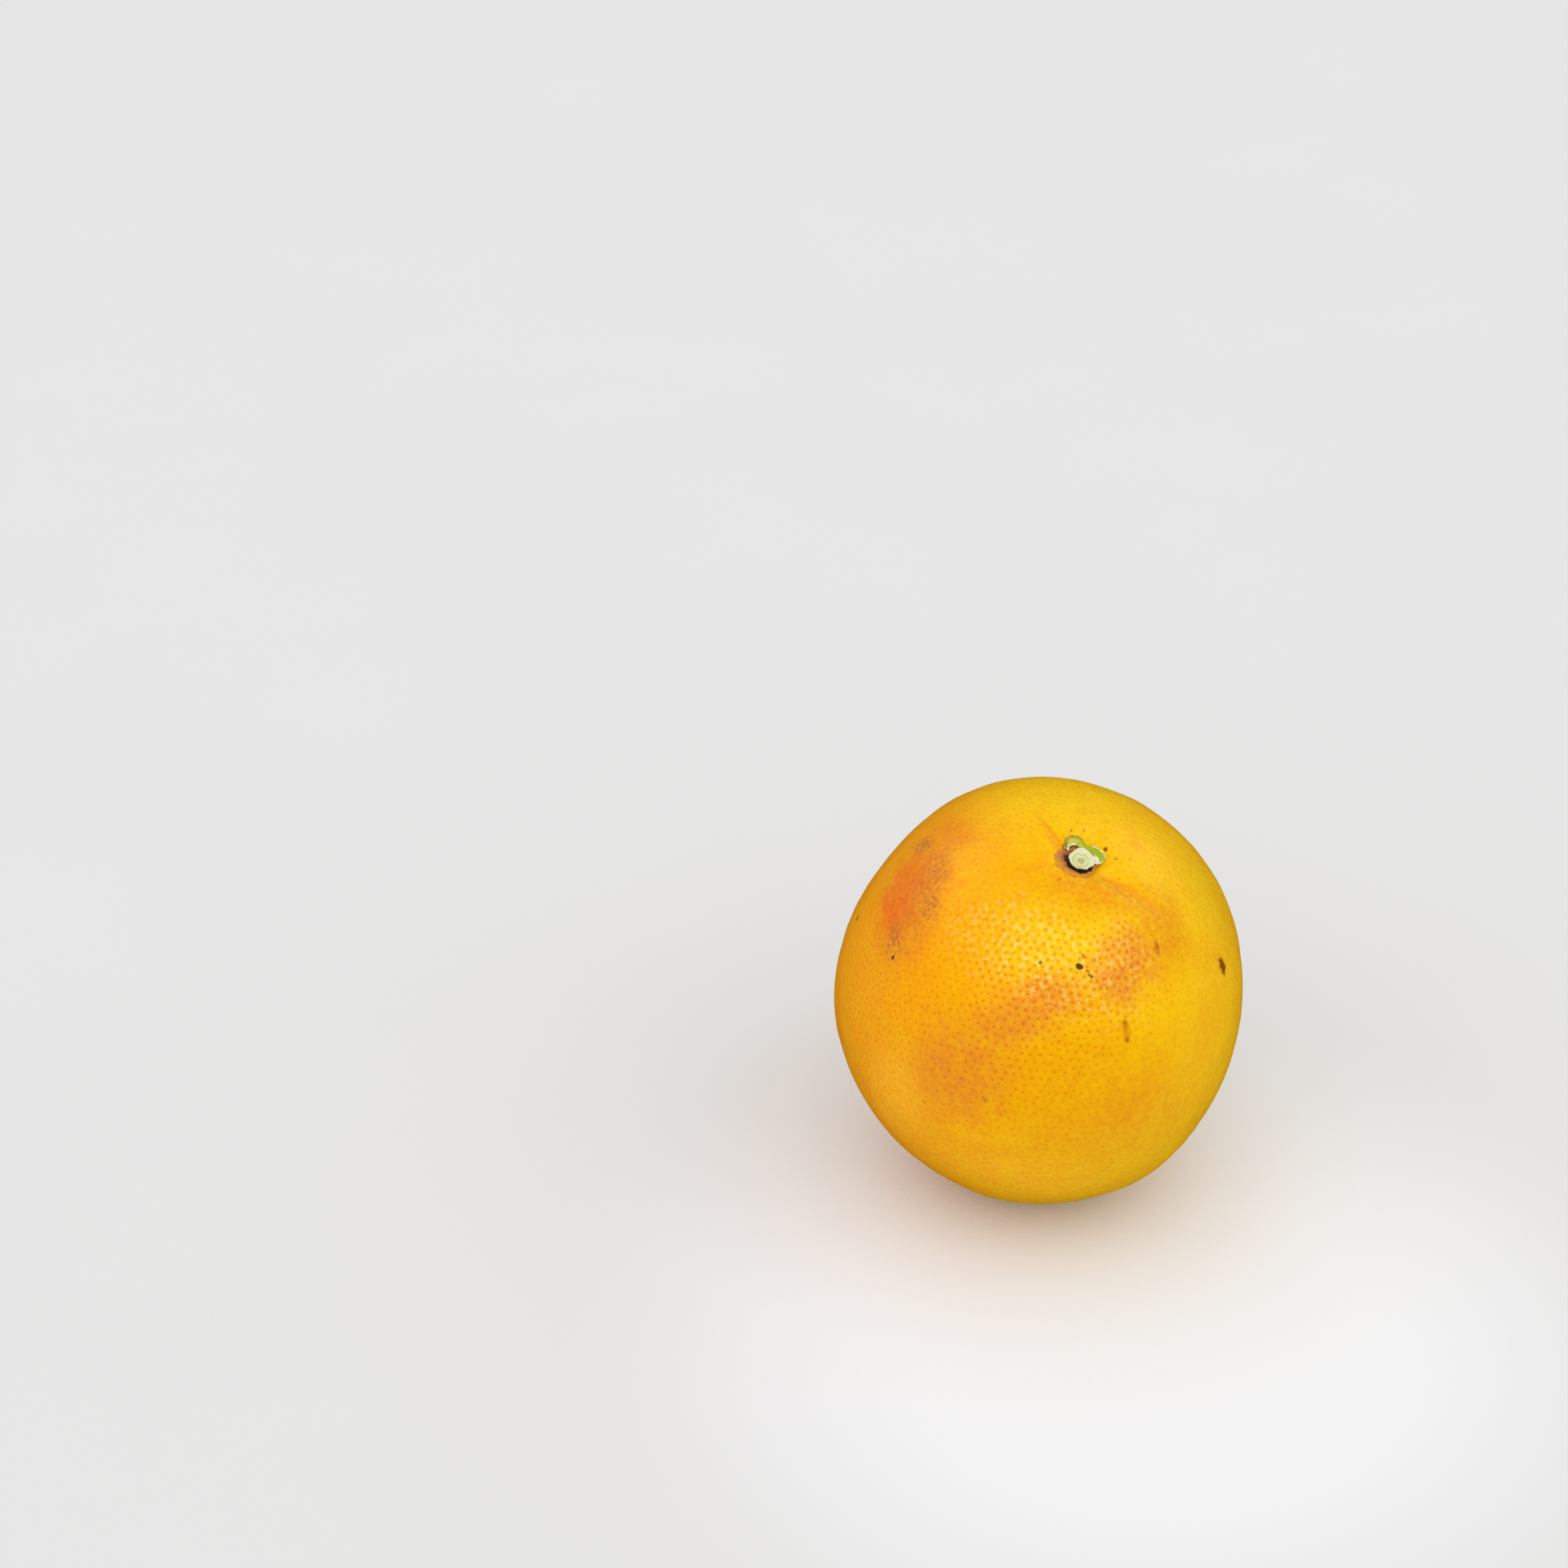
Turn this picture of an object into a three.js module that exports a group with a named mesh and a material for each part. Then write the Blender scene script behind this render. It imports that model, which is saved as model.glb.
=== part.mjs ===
// One whole grapefruit, as picked: the fruit, what is left of its green calyx, and the
// short cut stem. Millimetres, +Z up, -Y towards the viewer. The origin is the middle of
// the small flat spot that the fruit rests on.

import * as THREE from "three";
import { mergeVertices } from "three/addons/utils/BufferGeometryUtils.js";

// Fruit. Its own frame has +Z from its middle to the stem end.
const ACROSS = 99.8; // diameter across the equator, side to side
const THROUGH = 105.6; // diameter across the equator, front to back
const LENGTH = 104.2; // stem end to blossom end, before either is dimpled
const LEAN = 22; // degrees that the stem end leans from upright
const LEAN_HEADING = -66.5; // degrees round from +X that it leans towards
const STEM_DIMPLE_DEPTH = 2.2;
const STEM_DIMPLE_RADIUS = 10;
const BLOSSOM_DIMPLE_DEPTH = 0.7;
const BLOSSOM_DIMPLE_RADIUS = 3.6;
const FOOT_RADIUS = 9; // of the flat spot
const FOOT_ROUNDING = 0.4; // height over which the skin rolls off the flat spot

// Broad swells (rise above 0) and flats (rise below 0) of the skin, in degrees: around from
// +X, down from the stem end, and spread, the angle at which a swell has faded to a third.
const SWELLS = [
  { around: -175, down: 106, rise: 0.7, spread: 22 },
  { around: 145, down: 76, rise: -1.3, spread: 20 },
  { around: 39, down: 57, rise: 0.4, spread: 25 },
  { around: -15, down: 89, rise: -0.4, spread: 22 },
  { around: -50, down: 114, rise: 1, spread: 14 },
  { around: -123, down: 127, rise: -0.3, spread: 20 },
  { around: 60, down: 104, rise: -0.6, spread: 24 },
  { around: 104, down: 122, rise: 0.5, spread: 22 },
];

// Cut stem, standing in the middle of the stem dimple.
const STEM_RADIUS = 3.35; // of the cut face
const STEM_NECK_RADIUS = 2.7; // where it meets the fruit
const STEM_HEIGHT = 1.4; // from the bottom of the dimple to the cut face
const STEM_EDGE = 0.25; // height and width of the worn edge round the cut face
const STEM_CROWN = 0.1; // how far the middle of the cut face stands above that edge
const STEM_WAVES = [
  { count: 2, share: 0.035, turn: 80 },
  { count: 5, share: 0.03, turn: 20 },
];

// Calyx: a collar that goes part of the way round the stem, with two lobes left on it.
const CALYX_THICKNESS = 1;
const CALYX_START = -10; // degrees round the stem
const CALYX_END = 140;
const COLLAR_REACH = 4.4; // from the stem's axis to the collar's edge, between the lobes
const LOBES = [
  { around: 106, reach: 3, spread: 24 },
  { around: 32, reach: 1.8, spread: 30 },
];
const COLLAR_LEAST_WIDTH = 0.5; // where the stem nearly fills the collar

const PIECE_GAP = 0.3; // clear air between two pieces

// Fineness of the meshes.
const FRUIT_SEGMENTS = 84;
const FRUIT_RINGS = 46;
const RING_CROWDING = 0.45; // 0 spaces the rings evenly, towards 1 crowds them at both ends
const STEM_SEGMENTS = 40;
const CALYX_STATIONS = 36;
const CALYX_SIDES = 10;
const CALYX_SQUARENESS = 0.75; // of its section: 1 is an ellipse, towards 0 is a box
const CALYX_END_BLUNTNESS = 8; // 2 ends the collar in a half circle, more ends it squarer
const LOWEST_FINENESS = 1e-4; // last step, as a slope, of the search for the lowest skin

const { degToRad, radToDeg, clamp } = THREE.MathUtils;

// Unit vector at an angle round from +X and an angle down from +Z, both in degrees.
function directionAt(around, down) {
  const turn = degToRad(around);
  const drop = degToRad(down);
  const out = Math.sin(drop);
  return new THREE.Vector3(out * Math.cos(turn), out * Math.sin(turn), Math.cos(drop));
}

// A bell that is 1 at no distance and about a third at one spread.
function bell(distance, spread) {
  return Math.exp(-((distance / spread) ** 2));
}

const swellMiddles = SWELLS.map((swell) => directionAt(swell.around, swell.down));

// Distance from the fruit's middle to its skin, along a unit vector of its own frame.
function skinRadius(direction) {
  const ellipsoid =
    1 / Math.hypot(direction.x / (ACROSS / 2), direction.y / (THROUGH / 2), direction.z / (LENGTH / 2));
  const relief = SWELLS.reduce((sum, swell, i) => {
    const angle = direction.angleTo(swellMiddles[i]);
    return sum + swell.rise * bell(angle, degToRad(swell.spread));
  }, 0);
  const fromAxis = ellipsoid * Math.hypot(direction.x, direction.y);
  const dimple =
    direction.z > 0
      ? STEM_DIMPLE_DEPTH * bell(fromAxis, STEM_DIMPLE_RADIUS)
      : BLOSSOM_DIMPLE_DEPTH * bell(fromAxis, BLOSSOM_DIMPLE_RADIUS);
  return ellipsoid + relief - dimple;
}

// Turns the fruit's own frame so that its stem end leans.
const lean = new THREE.Quaternion().setFromAxisAngle(directionAt(LEAN_HEADING + 90, 90), degToRad(LEAN));
const upright = lean.clone().invert();

// The point of the leaning skin that lies below the fruit's middle, a sideways slope away.
function skinBelow(slopeX, slopeY) {
  const direction = new THREE.Vector3(slopeX, slopeY, -1).normalize().applyQuaternion(upright);
  return direction.multiplyScalar(skinRadius(direction)).applyQuaternion(lean);
}

// The lowest point of the leaning skin, found by stepping downhill from straight below.
function lowestSkin() {
  const slope = new THREE.Vector2();
  let found = skinBelow(0, 0);
  for (let step = 0.1; step > LOWEST_FINENESS; step /= 2) {
    for (const [x, y] of [[step, 0], [-step, 0], [0, step], [0, -step]]) {
      let next = skinBelow(slope.x + x, slope.y + y);
      while (next.z < found.z) {
        found = next;
        slope.x += x;
        slope.y += y;
        next = skinBelow(slope.x + x, slope.y + y);
      }
    }
  }
  return found;
}

// The fruit's middle stands so that its lowest skin, pressed flat, is level at the origin.
const lowest = lowestSkin();
const footSag = FOOT_RADIUS ** 2 / (2 * -lowest.z) + FOOT_ROUNDING;
const middle = new THREE.Vector3(-lowest.x, -lowest.y, -lowest.z - footSag);

// Height of the skin once its weight has flattened it: level at 0, then rolling off upwards.
function settledHeight(height) {
  const above = clamp(height + FOOT_ROUNDING, 0, 2 * FOOT_ROUNDING);
  return Math.max(height, above ** 2 / (4 * FOOT_ROUNDING));
}

// A closed geometry with its shared corners merged.
function merged(geometry) {
  geometry.deleteAttribute("normal");
  geometry.deleteAttribute("uv");
  return mergeVertices(geometry, 1e-4);
}

// Moves each corner of a geometry to the place that reshape writes into it.
function reshaped(geometry, reshape) {
  const corners = geometry.attributes.position;
  const corner = new THREE.Vector3();
  for (let i = 0; i < corners.count; i += 1) {
    corner.fromBufferAttribute(corners, i);
    reshape(corner);
    corners.setXYZ(i, corner.x, corner.y, corner.z);
  }
  geometry.computeVertexNormals();
  return geometry;
}

function fruitGeometry() {
  const ball = new THREE.SphereGeometry(1, FRUIT_SEGMENTS, FRUIT_RINGS).rotateX(Math.PI / 2);
  return reshaped(merged(ball), (corner) => {
    const share = Math.acos(clamp(corner.z, -1, 1)) / Math.PI;
    const crowded = share - (RING_CROWDING * Math.sin(2 * Math.PI * share)) / (2 * Math.PI);
    const around = radToDeg(Math.atan2(corner.y, corner.x));
    corner.copy(directionAt(around, 180 * crowded));
    corner.multiplyScalar(skinRadius(corner)).applyQuaternion(lean).add(middle);
    corner.z = settledHeight(corner.z);
  });
}

// A point of the skin near the stem end, in the fruit's own frame: out from the stem's axis
// in millimetres, at an angle round it in degrees, and lifted off the skin along the axis.
function overSkin(out, around, lift) {
  const dimpled = LENGTH / 2 - STEM_DIMPLE_DEPTH;
  const direction = directionAt(around, radToDeg(Math.atan2(out, dimpled)));
  const point = direction.clone().multiplyScalar(skinRadius(direction));
  point.z += lift;
  return point;
}

// Share by which the cut stem is wider or narrower than round, at an angle round it.
function stemWave(around) {
  return STEM_WAVES.reduce((sum, wave) => {
    return sum + wave.share * Math.cos(wave.count * degToRad(around - wave.turn));
  }, 0);
}

const stemWidest = STEM_WAVES.reduce((sum, wave) => sum + wave.share, 1);

function stemGeometry() {
  const rim = [...Array(STEM_SEGMENTS).keys()].map((i) => (360 * i) / STEM_SEGMENTS);
  const neck = STEM_NECK_RADIUS * stemWidest;
  const seat = Math.max(...rim.map((around) => overSkin(neck, around, PIECE_GAP).z));
  const face = overSkin(0, 0, STEM_HEIGHT).z;
  const profile = [
    new THREE.Vector2(0, seat),
    new THREE.Vector2(STEM_NECK_RADIUS, seat),
    new THREE.Vector2((STEM_NECK_RADIUS + STEM_RADIUS) / 2, seat + (face - seat) / 3),
    new THREE.Vector2(STEM_RADIUS, face - STEM_EDGE),
    new THREE.Vector2(STEM_RADIUS - STEM_EDGE, face),
    new THREE.Vector2(0, face + STEM_CROWN),
  ];
  const turned = new THREE.LatheGeometry(profile, STEM_SEGMENTS).rotateX(Math.PI / 2);
  return reshaped(merged(turned), (corner) => {
    const share = 1 + stemWave(radToDeg(Math.atan2(corner.y, corner.x)));
    corner.x *= share;
    corner.y *= share;
  });
}

// Distance from the stem's axis to the calyx's outer edge, at an angle round it.
function calyxReach(around) {
  return LOBES.reduce(
    (sum, lobe) => sum + lobe.reach * Math.exp(-(((around - lobe.around) / lobe.spread) ** 4)),
    COLLAR_REACH,
  );
}

// A blade with a rounded section, swept round the stem and lying along the skin.
function calyxGeometry() {
  const inner = STEM_RADIUS * stemWidest + PIECE_GAP;
  const corners = [];
  const faces = [];
  const station = (i) => CALYX_START + ((CALYX_END - CALYX_START) * i) / CALYX_STATIONS;
  const middleOut = (around) => (inner + Math.max(calyxReach(around), inner + COLLAR_LEAST_WIDTH)) / 2;
  const rounded = (wave) => Math.sign(wave) * Math.abs(wave) ** CALYX_SQUARENESS;
  for (let i = 1; i < CALYX_STATIONS; i += 1) {
    const around = station(i);
    const fromMiddle = Math.abs((2 * i) / CALYX_STATIONS - 1);
    const fullness = (1 - fromMiddle ** CALYX_END_BLUNTNESS) ** (1 / 2);
    const middle = middleOut(around);
    for (let side = 0; side < CALYX_SIDES; side += 1) {
      const turn = (2 * Math.PI * side) / CALYX_SIDES;
      const out = middle + (middle - inner) * fullness * rounded(Math.cos(turn));
      const rise = (CALYX_THICKNESS / 2) * (1 + fullness * rounded(Math.sin(turn)));
      corners.push(...overSkin(out, around, PIECE_GAP + rise).toArray());
    }
  }
  for (let i = 0; i < CALYX_STATIONS - 2; i += 1) {
    for (let side = 0; side < CALYX_SIDES; side += 1) {
      const here = i * CALYX_SIDES + side;
      const next = i * CALYX_SIDES + ((side + 1) % CALYX_SIDES);
      faces.push(here, here + CALYX_SIDES, next, next, here + CALYX_SIDES, next + CALYX_SIDES);
    }
  }
  for (const end of [0, CALYX_STATIONS]) {
    const around = station(end);
    const tip = corners.length / 3;
    const first = end === 0 ? 0 : (CALYX_STATIONS - 2) * CALYX_SIDES;
    corners.push(...overSkin(middleOut(around), around, PIECE_GAP + CALYX_THICKNESS / 2).toArray());
    for (let side = 0; side < CALYX_SIDES; side += 1) {
      const here = first + side;
      const next = first + ((side + 1) % CALYX_SIDES);
      faces.push(...(end === 0 ? [tip, here, next] : [tip, next, here]));
    }
  }
  const geometry = new THREE.BufferGeometry();
  geometry.setAttribute("position", new THREE.Float32BufferAttribute(corners, 3));
  geometry.setIndex(faces);
  geometry.computeVertexNormals();
  return geometry;
}

function piece(name, geometry, color, roughness) {
  const material = new THREE.MeshStandardMaterial({ color, roughness, metalness: 0 });
  const mesh = new THREE.Mesh(geometry, material);
  mesh.name = name;
  return mesh;
}

const stemEnd = new THREE.Group();
stemEnd.position.copy(middle);
stemEnd.quaternion.copy(lean);
stemEnd.add(
  piece("calyx", calyxGeometry(), 0xb9c93c, 0.6),
  piece("stem_stub", stemGeometry(), 0xdfe3b4, 0.75),
);

const grapefruit = new THREE.Group();
grapefruit.add(piece("fruit", fruitGeometry(), 0xf0ae0c, 0.45), stemEnd);

export default grapefruit;
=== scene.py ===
"""One whole grapefruit: a yellow rind full of oil glands and flushed with orange, the short
cut stem, what is left of its green calyx, and the corky scar where the rest has come off.

Metres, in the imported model's frame: +Z up, -Y towards the viewer, and the origin in the
middle of the flat spot that the fruit rests on.
"""

import logging
import math
from collections.abc import Callable
from dataclasses import dataclass
from enum import Enum
from functools import partial

import bpy
import numpy as np
from mathutils import Matrix, Vector
from mathutils.bvhtree import BVHTree


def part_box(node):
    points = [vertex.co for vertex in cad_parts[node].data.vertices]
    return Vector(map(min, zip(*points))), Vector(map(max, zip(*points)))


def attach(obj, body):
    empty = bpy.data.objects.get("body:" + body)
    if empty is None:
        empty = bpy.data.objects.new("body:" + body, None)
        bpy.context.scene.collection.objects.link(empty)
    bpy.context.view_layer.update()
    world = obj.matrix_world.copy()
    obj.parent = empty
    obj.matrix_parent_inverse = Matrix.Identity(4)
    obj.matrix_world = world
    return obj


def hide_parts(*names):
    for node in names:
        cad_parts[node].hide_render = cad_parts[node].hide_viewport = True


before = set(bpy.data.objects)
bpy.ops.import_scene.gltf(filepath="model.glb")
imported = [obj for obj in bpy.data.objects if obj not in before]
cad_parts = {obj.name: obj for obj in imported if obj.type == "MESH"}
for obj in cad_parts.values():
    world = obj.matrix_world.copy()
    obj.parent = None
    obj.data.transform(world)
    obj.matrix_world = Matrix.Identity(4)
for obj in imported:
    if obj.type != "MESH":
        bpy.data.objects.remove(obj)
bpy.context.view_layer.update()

log = logging.getLogger("grapefruit")

MM = 0.001

Socket = bpy.types.NodeSocket
Feed = float | tuple[float, ...] | Vector | Socket
Inputs = dict[str | int, Feed]
Colour = tuple[float, float, float, float]
Stops = tuple[tuple[float, Colour], ...]
Table = tuple[tuple[float, float], ...]


class Slot(Enum):
    """The record's material slots."""

    RIND = "rind"
    CALYX = "calyx_green"
    STEM = "cut_stem"


class Pattern(Enum):
    """Node groups that more than one finish uses."""

    STEM_PLACE = "Stem place"
    OVAL = "Oval patch"
    GRAIN = "Fine grain"


def colour(code: str) -> Colour:
    """A linear colour from six hexadecimal digits of sRGB.

    Args:
        code: Red, green and blue, two digits each.

    Returns:
        Red, green, blue and a full alpha.
    """
    parts = [int(code[i : i + 2], 16) / 255 for i in (0, 2, 4)]
    red, green, blue = (p / 12.92 if p <= 0.04045 else ((p + 0.055) / 1.055) ** 2.4 for p in parts)
    return red, green, blue, 1.0


def fade(values: np.ndarray, start: float, end: float) -> np.ndarray:
    """A smooth step.

    Args:
        values: Any numbers.
        start: The number at which the step leaves 0.
        end: The number at which it reaches 1, which may be below start.

    Returns:
        A share from 0 to 1 for each number.
    """
    share = np.clip((values - start) / (end - start), 0.0, 1.0)
    return share * share * (3.0 - 2.0 * share)


def direction_at(around: float, down: float) -> Vector:
    """A unit vector of the fruit's own frame.

    Args:
        around: Degrees round the stem's axis.
        down: Degrees down from the stem.

    Returns:
        The unit vector.
    """
    turn, drop = math.radians(around), math.radians(down)
    return Vector((math.sin(drop) * math.cos(turn), math.sin(drop) * math.sin(turn), math.cos(drop)))


def polar(places: np.ndarray) -> tuple[np.ndarray, np.ndarray]:
    """Each row's angle round the Z axis, in radians, and its distance from that axis."""
    return np.arctan2(places[:, 1], places[:, 0]), np.hypot(places[:, 0], places[:, 1])


def follow(table: Table, at: np.ndarray) -> np.ndarray:
    """Values between the pairs of a table, for numbers like the first of each pair."""
    return np.interp(at, *zip(*table))


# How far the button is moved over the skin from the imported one, in the fruit's own frame.
BUTTON = Vector((-0.3, 0.75, 0.0)) * MM
# The calyx scar, in millimetres from the stem's axis: the hollow's edge, and then the scar's
# own edge at angles round the axis, in degrees.
SCAR_INNER = 2.7
SCAR_REACH: Table = (
    (-180, 5.8), (-150, 5.5), (-120, 4.7), (-90, 4.2), (-60, 4.0), (-30, 3.8), (0, 4.1), (60, 4.6),
    (110, 5.0), (145, 5.7), (165, 6.0), (180, 5.8),
)


def scar_reach(around: np.ndarray) -> np.ndarray:
    """Distance from the stem's axis to the edge of the calyx scar.

    Args:
        around: Angles round the axis, in radians.

    Returns:
        A distance in millimetres for each angle.
    """
    scallops = 0.12 * np.cos(9 * around) + 0.08 * np.cos(16 * around + 1.0)
    return follow(SCAR_REACH, np.degrees(around)) + scallops


class Bench:
    """Blender's modelling operators, each run on one piece."""

    @staticmethod
    def pick(piece: bpy.types.Object) -> None:
        """Makes a piece the only selected one, and the active one."""
        bpy.ops.object.select_all(action="DESELECT")
        piece.select_set(True)
        bpy.context.view_layer.objects.active = piece

    @staticmethod
    def started(add: Callable[..., object], name: str, **settings: object) -> bpy.types.Object:
        """Adds a primitive.

        Args:
            add: The operator that adds it.
            name: Its name.
            settings: The operator's settings.

        Returns:
            The new piece.
        """
        bpy.ops.object.select_all(action="DESELECT")
        add(**settings)
        piece = bpy.context.view_layer.objects.active
        piece.name = piece.data.name = name
        return piece

    @staticmethod
    def edit(piece: bpy.types.Object, *steps: Callable[[], object], keep: bool = False) -> None:
        """Runs edit mode operators.

        Args:
            piece: The piece to edit.
            steps: The operators, in order.
            keep: Whether the faces that are already selected stay so, instead of all faces.
        """
        Bench.pick(piece)
        bpy.ops.object.mode_set(mode="EDIT")
        bpy.ops.mesh.select_mode(type="FACE")
        if not keep:
            bpy.ops.mesh.select_all(action="SELECT")
        for step in steps:
            step()
        bpy.ops.object.mode_set(mode="OBJECT")

    @staticmethod
    def modify(piece: bpy.types.Object, kind: str, **settings: object) -> None:
        """Adds a modifier and applies it.

        Args:
            piece: The piece to change.
            kind: The modifier's type.
            settings: The modifier's settings.
        """
        Bench.pick(piece)
        modifier = piece.modifiers.new(kind.title(), kind)
        for name, value in settings.items():
            setattr(modifier, name, value)
        bpy.ops.object.modifier_apply(modifier=modifier.name)

    @staticmethod
    def corners(piece: bpy.types.Object) -> np.ndarray:
        """The places of a piece's vertices, one row each."""
        places = np.empty(len(piece.data.vertices) * 3)
        piece.data.vertices.foreach_get("co", places)
        return places.reshape(-1, 3)

    @staticmethod
    def move(piece: bpy.types.Object, places: np.ndarray) -> None:
        """Moves a piece's vertices to new places, one row each."""
        piece.data.vertices.foreach_set("co", np.asarray(places, float).ravel())
        piece.data.update()

    @staticmethod
    def normals(piece: bpy.types.Object) -> np.ndarray:
        """The normals of a piece's vertices, one row each."""
        normals = np.empty(len(piece.data.vertices) * 3)
        piece.data.vertices.foreach_get("normal", normals)
        return normals.reshape(-1, 3)

    @staticmethod
    def note(piece: bpy.types.Object, name: str, values: np.ndarray, where: str = "POINT") -> None:
        """Keeps an attribute that the piece's finish reads.

        Args:
            piece: The piece.
            name: The attribute's name.
            values: A number, or a row of three, for each vertex or face.
            where: POINT for vertices, or FACE for faces.
        """
        kind, key = ("FLOAT", "value") if values.ndim == 1 else ("FLOAT_VECTOR", "vector")
        piece.data.attributes.new(name, kind, where).data.foreach_set(key, values.ravel())

    @staticmethod
    def settle(piece: bpy.types.Object, place: Matrix | None = None) -> None:
        """Puts a piece's place into its mesh and shades it smooth.

        Args:
            piece: The piece.
            place: A place to put it at first.
        """
        if place is not None:
            piece.matrix_world = place @ piece.matrix_world
        Bench.pick(piece)
        bpy.ops.object.transform_apply(location=True, rotation=True, scale=True)
        bpy.ops.object.shade_smooth()

    @staticmethod
    def lumps(piece: bpy.types.Object, size: float, height: float, group: str = "") -> None:
        """Raises soft lumps on a piece.

        Args:
            piece: The piece.
            size: About how wide a lump is.
            height: From the lowest hollow to the highest lump.
            group: A vertex group that says where, or none for everywhere.
        """
        clouds = bpy.data.textures.new(f"{piece.name} lumps", "CLOUDS")
        clouds.noise_scale = size
        clouds.noise_depth = 1
        Bench.modify(piece, "DISPLACE", texture=clouds, strength=height, vertex_group=group)


@dataclass(frozen=True)
class StemFrame:
    """The fruit's own frame: +Z from the fruit's middle to the stem.

    Attributes:
        middle: The fruit's middle.
        place: From the fruit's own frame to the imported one.
        face: Height of the cut stem's face above the middle, along the stem.
    """

    middle: Vector
    place: Matrix
    face: float

    @classmethod
    def found(cls) -> "StemFrame":
        """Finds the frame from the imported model.

        Returns:
            The frame. The stub is a disc, so its flattest direction is the stem's axis.
        """
        low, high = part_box("fruit")
        stub = Bench.corners(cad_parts["stem_stub"])
        seat = stub.mean(axis=0)
        axis = np.linalg.svd(stub - seat, full_matrices=False)[2][2]
        axis *= math.copysign(1.0, axis[2])
        centre = np.array((low + high) / 2)
        middle = Vector(seat + axis * ((centre - seat) @ axis))
        turn = Vector((0, 0, 1)).rotation_difference(Vector(axis))
        face = float(((stub - np.array(middle)) @ axis).max())
        return cls(middle, Matrix.Translation(middle) @ turn.to_matrix().to_4x4(), face)

    def own(self, places: np.ndarray) -> np.ndarray:
        """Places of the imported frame, as places of the fruit's own frame."""
        turn = np.array(self.place.to_3x3())
        return (places - np.array(self.middle)) @ turn

    def button(self) -> Matrix:
        """The button's own frame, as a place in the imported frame."""
        return self.place @ Matrix.Translation(BUTTON)


@dataclass(frozen=True)
class Oval:
    """An oval patch of the skin, in degrees of the fruit's own frame.

    Attributes:
        around: Of its middle, round the stem's axis.
        down: Of its middle, down from the stem.
        length: Half its length.
        width: Half its width.
        turn: From straight down to its long axis.
        strength: How strongly it shows.
    """

    around: float
    down: float
    length: float
    width: float
    turn: float = 0.0
    strength: float = 1.0

    def axes(self) -> tuple[Vector, Vector, Vector]:
        """The direction of its middle, and its two axes, each one over its half-size."""
        middle = direction_at(self.around, self.down)
        downhill = direction_at(self.around, self.down + 90.0)
        sideways = middle.cross(downhill)
        cos, sin = math.cos(math.radians(self.turn)), math.sin(math.radians(self.turn))
        along = (downhill * cos + sideways * sin) / math.sin(math.radians(self.length))
        across = (sideways * cos - downhill * sin) / math.sin(math.radians(self.width))
        return middle, along, across

    def cover(self, directions: np.ndarray, softness: float = 0.6) -> np.ndarray:
        """How much of it covers each direction.

        Args:
            directions: Unit vectors, one row each.
            softness: Width of its edge as a share of its size.

        Returns:
            A share from 0 to its strength for each direction.
        """
        middle, along, across = self.axes()
        reach = np.hypot(directions @ np.array(along), directions @ np.array(across))
        share = fade(reach, 1.0 + softness, 1.0 - softness)
        return self.strength * share * (directions @ np.array(middle) > 0)


# Where the rind's glands show most. Elsewhere they are shallow and faint.
PORED = (
    Oval(-105, 42, 40, 24, -30, 1.0),
    Oval(-152, 74, 34, 24, 0, 0.75),
    Oval(-100, 92, 34, 28, 0, 0.5),
    Oval(110, 90, 60, 45, 0, 0.8),
    Oval(20, 140, 50, 40, 0, 0.7),
)


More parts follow.
